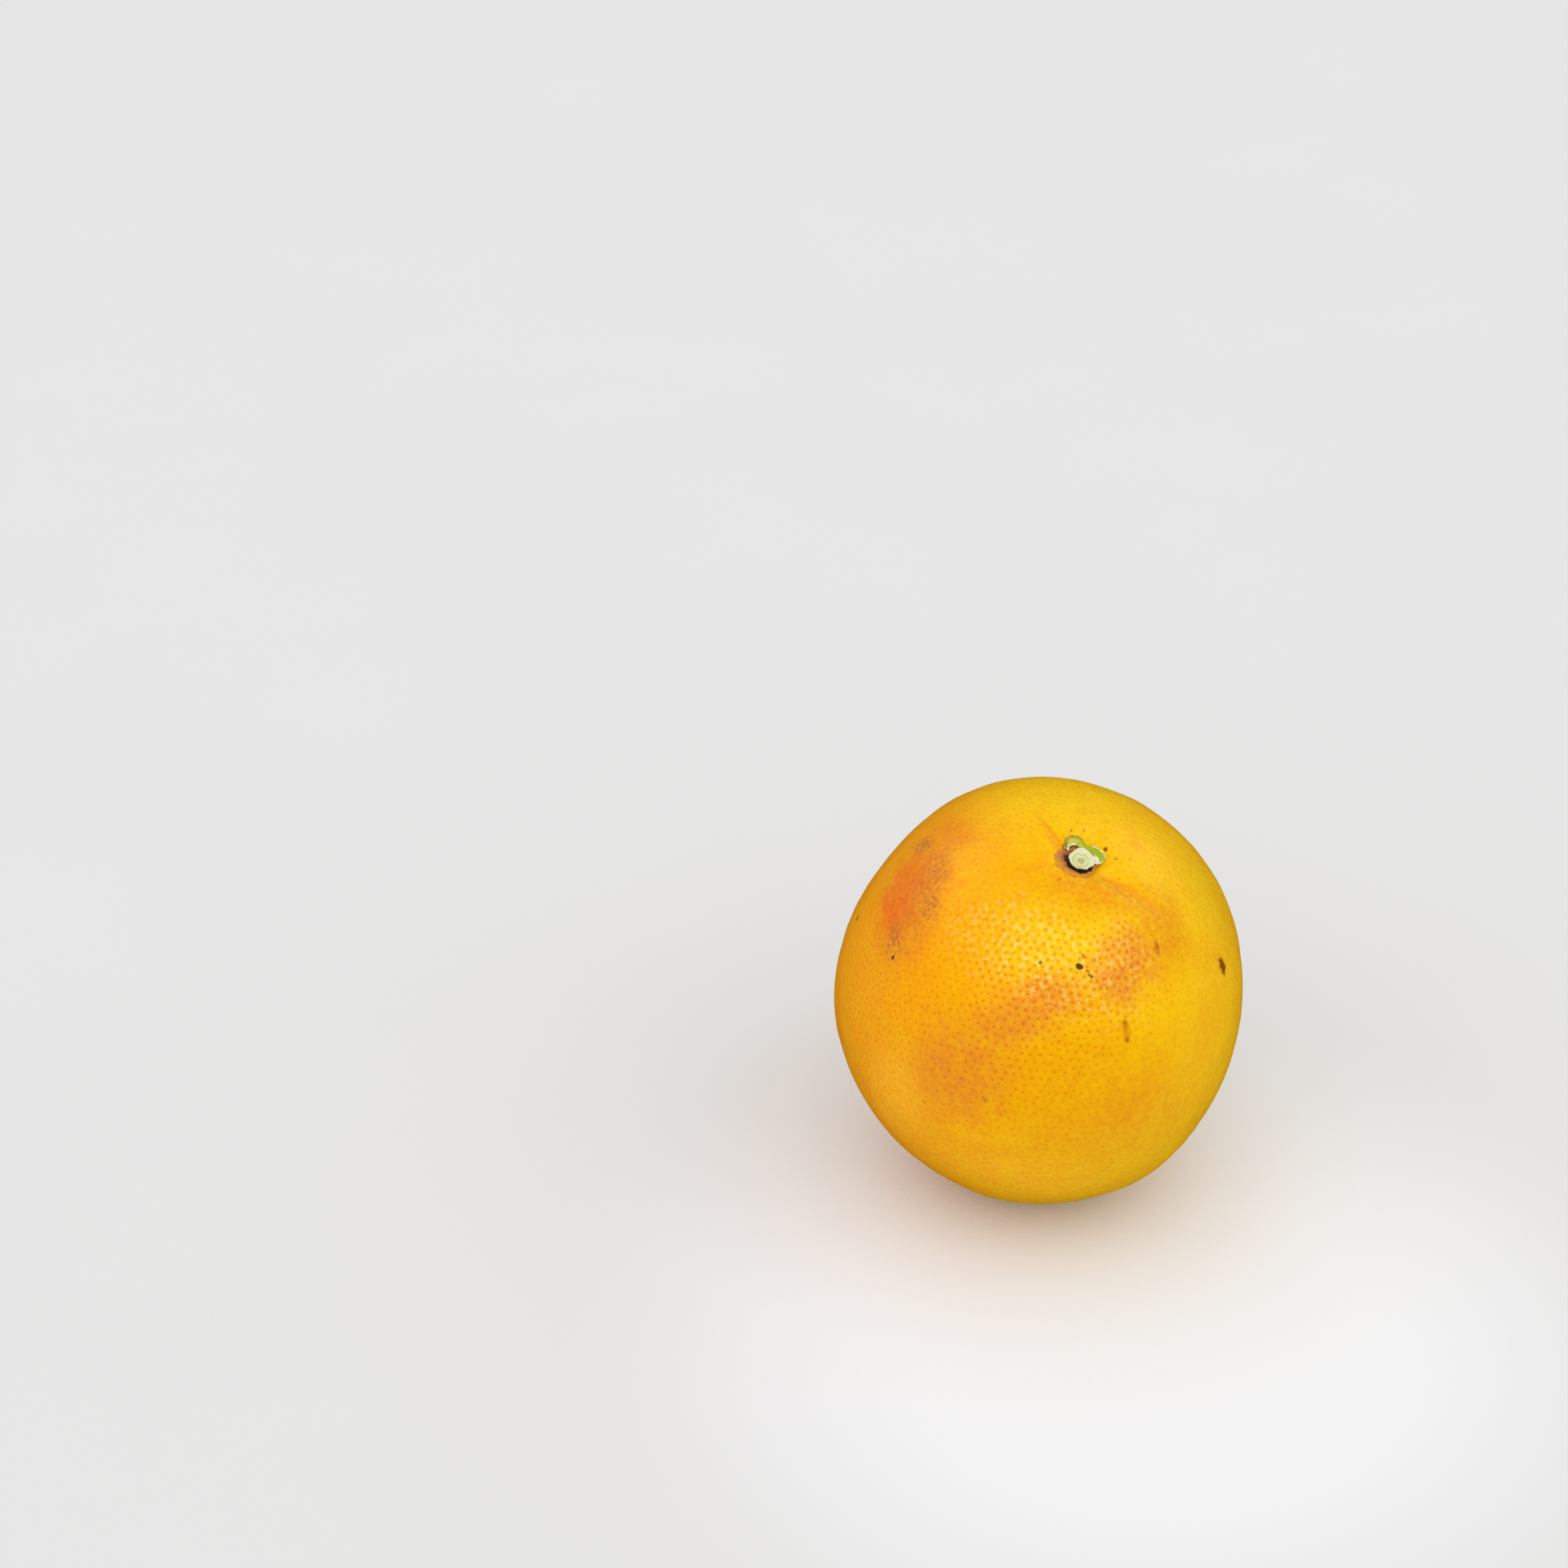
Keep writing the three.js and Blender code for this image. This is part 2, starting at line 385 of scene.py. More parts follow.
class Nodes:
    """Adds nodes to one material or node group and joins them."""

    def __init__(self, tree: bpy.types.NodeTree) -> None:
        """Starts on a node tree."""
        self.tree = tree

    def add(self, kind: str, inputs: Inputs | None = None, **settings: object) -> bpy.types.Node:
        """Adds a node.

        Args:
            kind: The node's type.
            inputs: What feeds its sockets.
            settings: The node's own settings.

        Returns:
            The node.
        """
        node = self.tree.nodes.new(kind)
        for name, value in settings.items():
            setattr(node, name, value)
        self.feed(node, inputs or {})
        return node

    def feed(self, node: bpy.types.Node, inputs: Inputs) -> None:
        """Feeds a node's sockets.

        Args:
            node: The node.
            inputs: A value or another node's output for each socket's name or number.
        """
        for key, value in inputs.items():
            if isinstance(value, bpy.types.NodeSocket):
                self.tree.links.new(value, node.inputs[key])
            else:
                node.inputs[key].default_value = value

    def math(self, how: str, first: Feed, second: Feed = 0.0) -> Socket:
        """A number made from two numbers."""
        return self.add("ShaderNodeMath", {0: first, 1: second}, operation=how).outputs[0]

    def plus(self, first: Feed, second: Feed) -> Socket:
        """The sum of two numbers."""
        return self.math("ADD", first, second)

    def times(self, first: Feed, second: Feed) -> Socket:
        """The product of two numbers."""
        return self.math("MULTIPLY", first, second)

    def swing(self, share: Feed, strength: Feed = 1.0) -> Socket:
        """A share from 0 to 1 made to swing about 0, by half of strength either way."""
        return self.times(self.math("SUBTRACT", share, 0.5), strength)

    def vector(self, how: str, first: Feed, second: Feed = (0.0, 0.0, 0.0)) -> Socket:
        """A vector, or for DOT_PRODUCT, LENGTH and DISTANCE a number, made from two vectors."""
        node = self.add("ShaderNodeVectorMath", {0: first, 1: second}, operation=how)
        return node.outputs["Value" if how in ("DOT_PRODUCT", "LENGTH", "DISTANCE") else "Vector"]

    def fade(self, value: Feed, start: Feed, end: Feed, low: float = 0.0, high: float = 1.0) -> Socket:
        """A smooth step from low to high as value goes from start to end."""
        inputs = {"Value": value, "From Min": start, "From Max": end, "To Min": low, "To Max": high}
        node = self.add("ShaderNodeMapRange", inputs, interpolation_type="SMOOTHSTEP")
        return node.outputs["Result"]

    def blend(self, share: Feed, first: Feed, second: Feed, how: str = "MIX") -> Socket:
        """A colour that goes from the first to the second."""
        # Of a Mix node's sockets, 0 is the share, 6 and 7 take colours, and 2 puts one out.
        inputs = {0: share, 6: first, 7: second}
        return self.add("ShaderNodeMix", inputs, data_type="RGBA", blend_type=how).outputs[2]

    def noise(self, place: Feed, scale: Feed, detail: float = 2.0, rough: float = 0.5) -> Socket:
        """Noise from 0 to 1 that is about even."""
        inputs = {"Vector": place, "Scale": scale, "Detail": detail, "Roughness": rough}
        return self.add("ShaderNodeTexNoise", inputs).outputs[0]

    def ramp(self, value: Feed, stops: Stops) -> Socket:
        """A colour that follows a number through a list of stops."""
        node = self.add("ShaderNodeValToRGB", {0: value})
        marks = node.color_ramp.elements
        while len(marks) < len(stops):
            marks.new(1.0)
        for mark, (position, tint) in zip(marks, stops):
            mark.position = position
            mark.color = tint
        return node.outputs[0]

    def attribute(self, name: str, output: str = "Fac") -> Socket:
        """One of the piece's own attributes, as a number or as its output says."""
        return self.add("ShaderNodeAttribute", attribute_name=name).outputs[output]

    def bump(self, height: Feed, distance: float, normal: Socket | None = None) -> Socket:
        """A normal bent by a height that stands for a distance in metres."""
        below = {} if normal is None else {"Normal": normal}
        inputs = {"Height": height, "Distance": distance, **below}
        return self.add("ShaderNodeBump", inputs).outputs["Normal"]

    def group(self, pattern: Pattern, inputs: Inputs | None = None) -> bpy.types.Node:
        """A shared node group, placed with its own values."""
        return self.add("ShaderNodeGroup", inputs, node_tree=bpy.data.node_groups[pattern.value])

    def grain(self, place: Feed, size: float, contrast: float = 1.0) -> Socket:
        """Fine uneven grain from 0 to 1, of a size in millimetres."""
        return self.group(Pattern.GRAIN, {"Place": place, "Size": size, "Contrast": contrast}).outputs[0]


class Patterns:
    """Builds the node groups that the finishes share."""

    KINDS = {"number": "NodeSocketFloat", "vector": "NodeSocketVector"}

    def __init__(self, stem: StemFrame) -> None:
        """Builds every group, for a fruit that stands in this frame."""
        self.stem = stem
        self.stem_place()
        self.oval()
        self.grain()

    def begun(
        self, pattern: Pattern, inputs: dict[str, str], outputs: dict[str, str]
    ) -> tuple[Nodes, bpy.types.NodeOutputs, bpy.types.Node]:
        """Starts a node group.

        Args:
            pattern: Which group it is.
            inputs: The kind of each named input.
            outputs: The kind of each named output.

        Returns:
            Its nodes, what it is given, and the node that stands for its outputs.
        """
        tree = bpy.data.node_groups.new(pattern.value, "ShaderNodeTree")
        for way, sockets in (("INPUT", inputs), ("OUTPUT", outputs)):
            for name, kind in sockets.items():
                tree.interface.new_socket(name, in_out=way, socket_type=self.KINDS[kind])
        nodes = Nodes(tree)
        return nodes, nodes.add("NodeGroupInput").outputs, nodes.add("NodeGroupOutput")

    def stem_place(self) -> None:
        """Places in millimetres and unit directions of the fruit's own frame."""
        outputs = {"Place": "vector", "Direction": "vector", "Out": "number", "Spoke": "vector"}
        nodes, _, found = self.begun(Pattern.STEM_PLACE, {}, outputs)
        inputs = {
            "Vector": nodes.add("ShaderNodeTexCoord").outputs["Object"],
            "Location": self.stem.middle,
            "Rotation": self.stem.place.to_euler(),
            "Scale": (MM, MM, MM),
        }
        own = nodes.add("ShaderNodeMapping", inputs, vector_type="TEXTURE").outputs[0]
        level = nodes.vector("MULTIPLY", own, (1.0, 1.0, 0.0))
        direction = nodes.vector("NORMALIZE", own)
        out, spoke = nodes.vector("LENGTH", level), nodes.vector("NORMALIZE", level)
        nodes.feed(found, {"Place": own, "Direction": direction, "Out": out, "Spoke": spoke})

    def oval(self) -> None:
        """A mask that is 1 inside an oval patch of the skin and fades over its edge."""
        inputs = dict.fromkeys(("Direction", "Middle", "Along", "Across"), "vector")
        inputs |= dict.fromkeys(("Ragged", "Inside", "Outside"), "number")
        nodes, given, found = self.begun(Pattern.OVAL, inputs, {"Mask": "number"})
        along = nodes.vector("DOT_PRODUCT", given["Direction"], given["Along"])
        across = nodes.vector("DOT_PRODUCT", given["Direction"], given["Across"])
        squares = nodes.plus(nodes.math("POWER", along, 2.0), nodes.math("POWER", across, 2.0))
        reach = nodes.plus(nodes.math("SQRT", squares), given["Ragged"])
        share = nodes.fade(reach, given["Outside"], given["Inside"])
        toward = nodes.vector("DOT_PRODUCT", given["Direction"], given["Middle"])
        nodes.feed(found, {"Mask": nodes.times(share, nodes.math("GREATER_THAN", toward, 0.0))})

    def grain(self) -> None:
        """Fine uneven grain from 0 to 1, of a size in millimetres."""
        inputs = {"Place": "vector", "Size": "number", "Contrast": "number"}
        nodes, given, found = self.begun(Pattern.GRAIN, inputs, {"Grain": "number"})
        noise = nodes.noise(given["Place"], nodes.math("DIVIDE", 1.0, given["Size"]), 3.0)
        nodes.feed(found, {"Grain": nodes.plus(nodes.swing(noise, given["Contrast"]), 0.5)})


class Finish:
    """What every finish has: a material, its nodes and one Principled BSDF."""

    name: str

    def start(self, **constants: Feed) -> tuple[bpy.types.Material, Nodes, bpy.types.Node]:
        """Starts the material.

        Args:
            constants: Values that are the same all over, by socket name with _ for a space.

        Returns:
            The material, its nodes and its Principled BSDF.
        """
        material = bpy.data.materials.new(self.name)
        material.use_nodes = True
        nodes = Nodes(material.node_tree)
        shader = material.node_tree.nodes["Principled BSDF"]
        for key, value in constants.items():
            shader.inputs[key.replace("_", " ")].default_value = value
        return material, nodes, shader


@dataclass(frozen=True)
class Flush:
    """A tint that lies over the rind in soft ovals.

    Attributes:
        tint: The colour.
        ovals: Where it lies.
        softness: Width of an oval's edge as a share of its size.
        ragged: How far the edge strays, as a share of the oval's size.
    """

    tint: Colour
    ovals: tuple[Oval, ...]
    softness: float = 0.6
    ragged: float = 0.8


@dataclass(frozen=True)
class SkinMap:
    """What the rind's nodes know about each point of it.

    Attributes:
        nodes: The material's nodes.
        place: The point in the fruit's own frame, in millimetres.
        here: Its direction.
        out: Its distance from the stem's axis.
        spoke: Its direction from that axis.
        broad: Broad noise about 0.
        fine: Fine noise about 0.
        pore: 1 in the middle of a gland's pit, and 0 outside the pit.
        ridge: 1 on the ridges between glands.
    """

    nodes: Nodes
    place: Socket
    here: Socket
    out: Socket
    spoke: Socket
    broad: Socket
    fine: Socket
    pore: Socket
    ridge: Socket


@dataclass(frozen=True)
class RindFinish(Finish):
    """The waxy rind: yellow to orange, flushed, pored and marked.

    Attributes:
        yellow: The side that has more yellow.
        ripe_and_bounce: The side that has ripened to orange, made oranger still by painted orange bounce
            light from fruit beside it.
        amber: Broad patches over both.
        dull: Small mottles, which multiply what is below.
        pore: The pits over the glands, likewise.
        painted_glint: A painted highlight: a pale network on the ridges between glands where the glare
            falls.
        furrow_shade: Painted shade, darker orange, in the furrows by the stem.
        scuff: Where the skin has been rubbed.
        speck: Small dark marks.
        brown: Dry brown marks.
        gloss: Tint of the wax's shine.
        roughness: Of plain skin.
        rubbed: How much rougher a scuff is.
        pitted: How much rougher a pit is.
        grain: Size of the finest grain, in millimetres, and its height in metres.
        peel: The same for the peel's own unevenness.
        pit_height: How far the shading of a pit and its ridge rises.
        streak_height: How far the streaks round the stem rise.
        pored: Where the glands' colour shows most.
        painted_glint_ovals: Where the painted highlight network shows.
        creases: The furrows that the painted shade lies in.
        flushes: Tints laid over one another, in order; some of them are painted light, sheen or shade.
        scuffs: The rubbed patches.
        specks: The dark marks.
        browns: The brown marks.
    """

    name: str = "rind"
    yellow: Colour = colour("ECBA02")
    ripe_and_bounce: Colour = colour("EE9E04")
    amber: Colour = colour("EAAA00")
    dull: Colour = colour("F6D8B0")
    pore: Colour = colour("F4C890")
    painted_glint: Colour = colour("FBD27A")
    furrow_shade: Colour = colour("E48A06")
    scuff: Colour = colour("A26430")
    speck: Colour = colour("2A0E14")
    brown: Colour = colour("7E3804")
    gloss: Colour = (1.0, 0.72, 0.08, 1.0)
    roughness: float = 0.34
    rubbed: float = 0.35
    pitted: float = 0.12
    grain: tuple[float, float] = (0.45, 0.035 * MM)
    peel: tuple[float, float] = (1.7, 0.17 * MM)
    pit_height: float = 0.016 * MM
    streak_height: float = 0.22 * MM
    pored: tuple[Oval, ...] = PORED
    painted_glint_ovals: tuple[Oval, ...] = (
        Oval(-110, 30, 24, 11, 85, 0.9),
        Oval(-68, 30, 9, 11, 57, 0.6),
    )
    creases: tuple[Oval, ...] = (
        Oval(130.7, 11.5, 6.0, 0.9, 170, 0.7),
        Oval(143.0, 9.0, 4.5, 0.7, 160, 0.6),
        Oval(120.0, 8.5, 3.0, 0.5, 0, 0.5),
        Oval(-25.9, 13.9, 9.0, 1.4, 2, 0.65),
        Oval(-62.5, 9.5, 3.6, 0.8, 0, 0.55),
        Oval(-168.3, 13.9, 7.0, 1.6, 7, 0.3),
        Oval(35.0, 19.0, 3.6, 1.2, 80, 0.3),
    )
    flushes: tuple[Flush, ...] = (
        # Brighter yellow over the top: partly the rind's own tint, partly painted light from above.
        Flush(colour("F2C800"), (Oval(100, 30, 22, 20, 0, 0.8),)),
        # A pale flush low on the front: painted sheen.
        Flush(colour("F6B420"), (Oval(-135, 90, 15, 10, 0, 0.75), Oval(-90, 99, 22, 10, 90, 0.4))),
        Flush(colour("E09A04"), (Oval(-86, 66, 34, 20, 80, 0.75), Oval(-62.5, 72, 13, 9, 100, 0.6))),
        # Darker orange round the front of the stem: partly the rind's own orange, partly painted shade in
        # the band below the stem's shoulder.
        Flush(
            colour("DE9006"),
            (
                Oval(-62.5, 11, 17, 5, 56, 0.7),
                Oval(-34, 27, 12, 8, -19, 0.8),
                Oval(-98, 38, 10, 4, 76, 0.7),
                Oval(-70.7, 69.3, 9.6, 7, 112, 0.5),
            ),
        ),
        Flush(colour("DCBE08"), (Oval(7, 42, 12, 9, -73, 0.4), Oval(60, 110, 30, 18, 20, 0.3))),
        Flush(
            colour("DC8226"),
            (
                Oval(-68.3, 31.3, 7.8, 9.8, 57, 1.0),
                Oval(-108.4, 46, 15, 6.8, -43, 0.85),
                Oval(-121.3, 69, 13.5, 11.5, -18.6, 0.75),
                Oval(-110.6, 66.7, 6, 5, -14, 0.45),
                Oval(100, 80, 20, 12, 30, 0.6),
            ),
        ),
        Flush(
            colour("E07618"),
            (
                Oval(-179.1, 48.8, 18, 12.5, 61, 0.85),
                Oval(158, 41.9, 10, 9.5, 77, 0.6),
                Oval(40, 120, 16, 9, -30, 0.5),
            ),
        ),
        Flush(colour("E4601C"), (Oval(-179.7, 53.6, 10, 7.0, 66.6, 0.6),)),
        Flush(
            colour("B05A06"),
            (
                Oval(-44.8, 30.5, 1.9, 0.8, -33, 0.95),
                Oval(-71.0, 45.5, 0.8, 0.7, 0, 1.0),
                Oval(-70.6, 50.0, 0.9, 0.7, 0, 0.9),
                Oval(-70.7, 47.5, 2.6, 1.2, 9, 0.5),
                Oval(19.3, 9.8, 0.6, 0.4, 0, 0.7),
                Oval(17.0, 13.9, 0.6, 0.4, 0, 0.5),
                Oval(-135.9, 9.1, 0.7, 0.5, 0, 0.5),
                Oval(0.0, 180.0, 6.5, 6.0, 0, 0.45),
            ),
            0.5,
        ),
    )
    scuffs: tuple[Oval, ...] = (
        Oval(159.8, 48.1, 2.8, 5.0, 70.2, 0.75),
        Oval(178.7, 39.8, 4.0, 3.2, 66, 0.65),
        Oval(-167.4, 43.5, 5.0, 2.6, 52.7, 0.8),
        Oval(-163.9, 57.3, 4.8, 3.2, 51.4, 0.8),
        Oval(-176.1, 44.5, 13.0, 5.0, 61, 0.5),
        Oval(70, 100, 9.0, 3.0, 50, 0.6),
    )
    specks: tuple[Oval, ...] = (
        Oval(-90.6, 30.7, 1.1, 0.8, 58, 1.0),
        Oval(-86.4, 31.6, 0.6, 0.4, 60, 0.6),
        Oval(-84.8, 32.8, 0.8, 0.4, 60, 0.75),
        Oval(-88.9, 27.8, 0.8, 0.5, 30, 0.5),
        Oval(-109.8, 32.2, 0.45, 0.45, 0, 0.8),
        Oval(173.8, 74.7, 0.9, 0.5, 40, 0.85),
        Oval(-160.0, 60.1, 0.6, 0.5, 0, 0.9),
        Oval(-110.4, 72.3, 1.1, 0.7, 40, 0.22),
        Oval(-125.5, 83.8, 0.7, 0.6, 0, 0.22),
        Oval(104.4, 11.3, 0.4, 0.3, 0, 0.6),
        Oval(86.2, 11.5, 0.4, 0.3, 0, 0.6),
        Oval(159.7, 7.5, 0.4, 0.4, 0, 0.5),
        Oval(75.0, 96.0, 0.8, 0.6, 20, 0.9),
        Oval(118.0, 121.0, 0.6, 0.5, 0, 0.8),
        Oval(20.0, 128.0, 0.7, 0.5, 60, 0.8),
    )
    browns: tuple[Oval, ...] = (
        Oval(-16.8, 51.1, 2.5, 1.5, -20, 0.95),
        Oval(42.5, 8.8, 0.7, 0.5, 30, 0.9),
        Oval(95.0, 60.0, 1.6, 0.9, 40, 0.7),
        Oval(140.0, 105.0, 1.8, 0.6, 70, 0.7),
        Oval(-20.0, 110.0, 1.2, 0.7, 10, 0.6),
        Oval(0.0, 180.0, 2.0, 1.7, 30, 0.95),
    )

    def made(self) -> bpy.types.Material:
        """Builds the material."""
        material, nodes, shader = self.start(Specular_IOR_Level=0.28, Specular_Tint=self.gloss)
        at = self.mapped(nodes)
        scuffed = self.scuffed(at)
        tint = self.marked(at, self.glanded(at, self.ground(at)), scuffed)
        rough = nodes.plus(nodes.times(scuffed, self.rubbed), self.roughness)
        rough = nodes.plus(rough, nodes.times(at.pore, self.pitted))
        nodes.feed(shader, {"Base Color": tint, "Roughness": rough, "Normal": self.bent(at)})
        return material

    @staticmethod
    def mapped(nodes: Nodes) -> SkinMap:
        """Finds what the rest of the nodes start from.

        Args:
            nodes: The material's nodes.

        Returns:
            The map.
        """
        stem = nodes.group(Pattern.STEM_PLACE)
        place, here, out, spoke = (stem.outputs[k] for k in ("Place", "Direction", "Out", "Spoke"))
        broad = nodes.swing(nodes.noise(here, 9.0, 4.0, 0.6))
        fine = nodes.swing(nodes.noise(here, 60.0, 2.0))
        point = nodes.add("ShaderNodeTexCoord").outputs["Object"]
        away = nodes.vector("DISTANCE", point, nodes.attribute("gland", "Vector"))
        away = nodes.math("DIVIDE", away, nodes.attribute("pore_radius"))
        pore, ridge = nodes.fade(away, 1.25, 0.3), nodes.fade(away, 1.2, 2.2)
        return SkinMap(nodes, place, here, out, spoke, broad, fine, pore, ridge)

    def ground(self, at: SkinMap) -> Socket:
        """Yellow on one side and ripe orange, partly painted bounce light, on the other, with patches,
        flushes and mottles.
        """
        nodes = at.nodes
        side = nodes.add("ShaderNodeSeparateXYZ", {0: at.here}).outputs[0]
        side = nodes.plus(side, nodes.times(at.broad, 1.2))
        # The ripe side: the rind's own orange, with painted orange bounce light on top.
        tint = nodes.blend(nodes.fade(side, -0.85, 0.3), self.ripe_and_bounce, self.yellow)
        patchy = nodes.fade(nodes.noise(at.here, 5.0, 3.0), 0.42, 0.68)
        tint = nodes.blend(nodes.times(patchy, 0.5), tint, self.amber)
        for flush in self.flushes:
            cover = self.masks(at, flush.ovals, nodes.times(at.broad, flush.ragged), flush.softness)
            mottle = nodes.fade(nodes.noise(at.here, 22.0, 4.0, 0.65), 0.32, 0.62, 0.5, 1.0)
            tint = nodes.blend(nodes.times(cover, mottle), tint, flush.tint)
        dull = nodes.fade(nodes.noise(at.here, 34.0, 3.0, 0.6), 0.4, 0.66)
        return nodes.blend(nodes.times(dull, 0.35), tint, self.dull, "MULTIPLY")

    def glanded(self, at: SkinMap, tint: Socket) -> Socket:
        """Darkens the pits and lays a painted highlight, a pale network, on the ridges between them."""
        nodes = at.nodes
        pored = nodes.plus(nodes.times(self.masks(at, self.pored, at.broad, 0.7), 0.78), 0.22)
        tint = nodes.blend(nodes.times(at.pore, pored), tint, self.pore, "MULTIPLY")
        # Painted highlight: pale colour on the ridges between glands, inside the glare's ovals.
        painted_glint_net = nodes.times(at.ridge, nodes.fade(nodes.noise(at.here, 42.0, 3.0, 0.6), 0.47, 0.62))
        painted_glint_ovals = nodes.times(self.masks(at, self.painted_glint_ovals, at.broad, 0.6), 0.6)
        return nodes.blend(nodes.times(painted_glint_net, painted_glint_ovals), tint, self.painted_glint)

    def scuffed(self, at: SkinMap) -> Socket:
        """A mask of the rubbed patches, broken up, and fuller in the pits."""
        nodes = at.nodes
        patches = self.masks(at, self.scuffs, nodes.times(at.broad, 1.4), 0.8)
        broken = nodes.fade(nodes.noise(at.place, 1.1, 3.0, 0.6), 0.42, 0.62)
        return nodes.times(patches, nodes.math("MAXIMUM", broken, at.pore))

    def marked(self, at: SkinMap, tint: Socket, scuffed: Socket) -> Socket:
        """Lays painted shade in the creases, then the scuffs, specks and brown marks, over a tint.

        Args:
            at: The map.
            tint: The tint below.
            scuffed: The mask of the rubbed patches.

        Returns:
            The new tint.
        """
        nodes = at.nodes
        # Painted shade: darker orange along the furrows.
        furrow_shade_mask = self.masks(at, self.creases, nodes.times(at.fine, 1.2), 0.8)
        tint = nodes.blend(furrow_shade_mask, tint, self.furrow_shade)
        tint = nodes.blend(scuffed, tint, self.scuff)
        specked = self.masks(at, self.specks, nodes.times(at.fine, 1.2), 0.28)
        tint = nodes.blend(specked, tint, self.speck)
        browned = self.masks(at, self.browns, nodes.times(at.fine, 1.6), 0.45)
        return nodes.blend(browned, tint, self.brown)

    def bent(self, at: SkinMap) -> Socket:
        """The normal, bent by grain, peel, pits and the streaks round the stem."""
        nodes = at.nodes
        normal = None
        for size, height in (self.grain, self.peel):
            normal = nodes.bump(nodes.grain(at.place, size), height, normal)
        normal = nodes.bump(nodes.math("SUBTRACT", at.ridge, at.pore), self.pit_height, normal)
        streaks = nodes.times(nodes.noise(at.spoke, 7.0, 1.5), nodes.fade(at.out, 14.0, 6.0))
        return nodes.bump(streaks, self.streak_height, normal)

    @staticmethod
    def masks(at: SkinMap, ovals: tuple[Oval, ...], ragged: Socket, softness: float) -> Socket:
        """The strongest of a set of ovals.

        Args:
            at: The map.
            ovals: The ovals.
            ragged: How far the edges stray.
            softness: Width of an edge as a share of the oval's size.

        Returns:
            A mask.
        """
        nodes = at.nodes
        edge = {"Ragged": ragged, "Inside": 1.0 - softness, "Outside": 1.0 + softness}
        strongest: Socket | None = None
        for oval in ovals:
            shape = dict(zip(("Middle", "Along", "Across"), oval.axes()))
            patch = nodes.group(Pattern.OVAL, {"Direction": at.here, **shape, **edge})
            mask = nodes.times(patch.outputs[0], oval.strength)
            strongest = mask if strongest is None else nodes.math("MAXIMUM", strongest, mask)
        return strongest


@dataclass(frozen=True)
class CutFinish(Finish):
    """The cut face of the stem: rings of pale wood round a beige pith, brown down its side.

    Attributes:
        face: Height of the cut face above the fruit's middle.
        rings: Colours from the pith outwards, at shares of ring_reach.
        ring_reach: How far the rings go, in millimetres.
        pith: From the stem's axis to the pith, turned round, in millimetres.
        mottle: Fine stains, which multiply what is below.
        bark: The side.
    """

    face: float
    name: str = "cut stem"
    rings: Stops = (
        (0.0, colour("B3AE6E")),
        (0.22, colour("B9B877")),
        (0.29, colour("E2DDB2")),
        (0.36, colour("DCDAA6")),
        (0.43, colour("BFC67C")),
        (0.50, colour("C6CB88")),
        (0.58, colour("DBDAAE")),
        (0.78, colour("DCD9B4")),
        (0.92, colour("E6E0CC")),
    )
    ring_reach: float = 4.0
    pith: tuple[float, float, float] = (0.6, -0.15, 0.0)
    mottle: Colour = colour("B9BC78")
    bark: Colour = colour("6E4A2A")

    def made(self) -> bpy.types.Material:
        """Builds the material."""
        material, nodes, shader = self.start(Specular_IOR_Level=0.18)
        place = nodes.group(Pattern.STEM_PLACE).outputs["Place"]
        grain, fine = nodes.grain(place, 0.8, 1.3), nodes.grain(place, 0.25, 1.6)
        from_pith = nodes.vector("MULTIPLY", nodes.vector("ADD", place, self.pith), (1.0, 1.0, 0.0))
        out = nodes.plus(nodes.vector("LENGTH", from_pith), nodes.swing(grain, 1.3))
        tint = nodes.ramp(nodes.math("DIVIDE", out, self.ring_reach), self.rings)
        tint = nodes.blend(nodes.times(fine, 0.25), tint, self.mottle, "MULTIPLY")
        height = nodes.add("ShaderNodeSeparateXYZ", {0: place}).outputs[2]
        drop = nodes.math("SUBTRACT", self.face / MM, height)
        side = nodes.fade(nodes.plus(drop, nodes.times(grain, 0.3)), 0.45, 1.1)
        rough, normal = nodes.fade(fine, 0.2, 0.8, 0.6, 0.85), nodes.bump(fine, 0.08 * MM)
        tint = nodes.blend(side, tint, self.bark)
        nodes.feed(shader, {"Base Color": tint, "Roughness": rough, "Normal": normal})
        return material


@dataclass(frozen=True)
class CalyxFinish(Finish):
    """Green calyx, yellow-green where it thins and whitish where it has torn.

    Attributes:
        green: Where it is lush.
        yellow: Where it thins.
        torn: The torn edges.
        brown: Painted shade on the underside.
        olive: Darker along the outer edge of the second lobe.
    """

    name: str = "calyx green"
    green: Colour = colour("9AAC00")
    yellow: Colour = colour("BFBB34")
    torn: Colour = colour("E0DCBC")
    brown: Colour = colour("6E4A20")
    olive: Colour = colour("72661A")

    def made(self) -> bpy.types.Material:
        """Builds the material."""
        material, nodes, shader = self.start(Specular_IOR_Level=0.14)
        place = nodes.group(Pattern.STEM_PLACE).outputs["Place"]
        grain, fine = nodes.grain(place, 0.9, 1.4), nodes.grain(place, 0.3, 1.4)
        lush = nodes.plus(nodes.attribute("lush"), nodes.swing(grain, 0.8))
        tint = nodes.blend(nodes.fade(lush, 0.3, 0.7), self.yellow, self.green)
        olive_edge = nodes.times(nodes.attribute("olive_edge"), nodes.fade(fine, 0.3, 0.6))
        tint = nodes.blend(olive_edge, tint, self.olive)
        inside = nodes.plus(nodes.attribute("inside"), nodes.swing(grain, 0.7))
        tint = nodes.blend(nodes.fade(inside, 0.5, 0.2), tint, self.torn)
        # Painted shade: brown where the faces turn down, under the collar.
        under = nodes.plus(nodes.attribute("under"), nodes.swing(fine, 0.5))
        tint = nodes.blend(nodes.fade(under, 0.55, 0.8), tint, self.brown)
        rough = nodes.fade(fine, 0.2, 0.8, 0.45, 0.75)
        normal = nodes.bump(fine, 0.06 * MM, nodes.bump(grain, 0.12 * MM))
        nodes.feed(shader, {"Base Color": tint, "Roughness": rough, "Normal": normal})
        return material


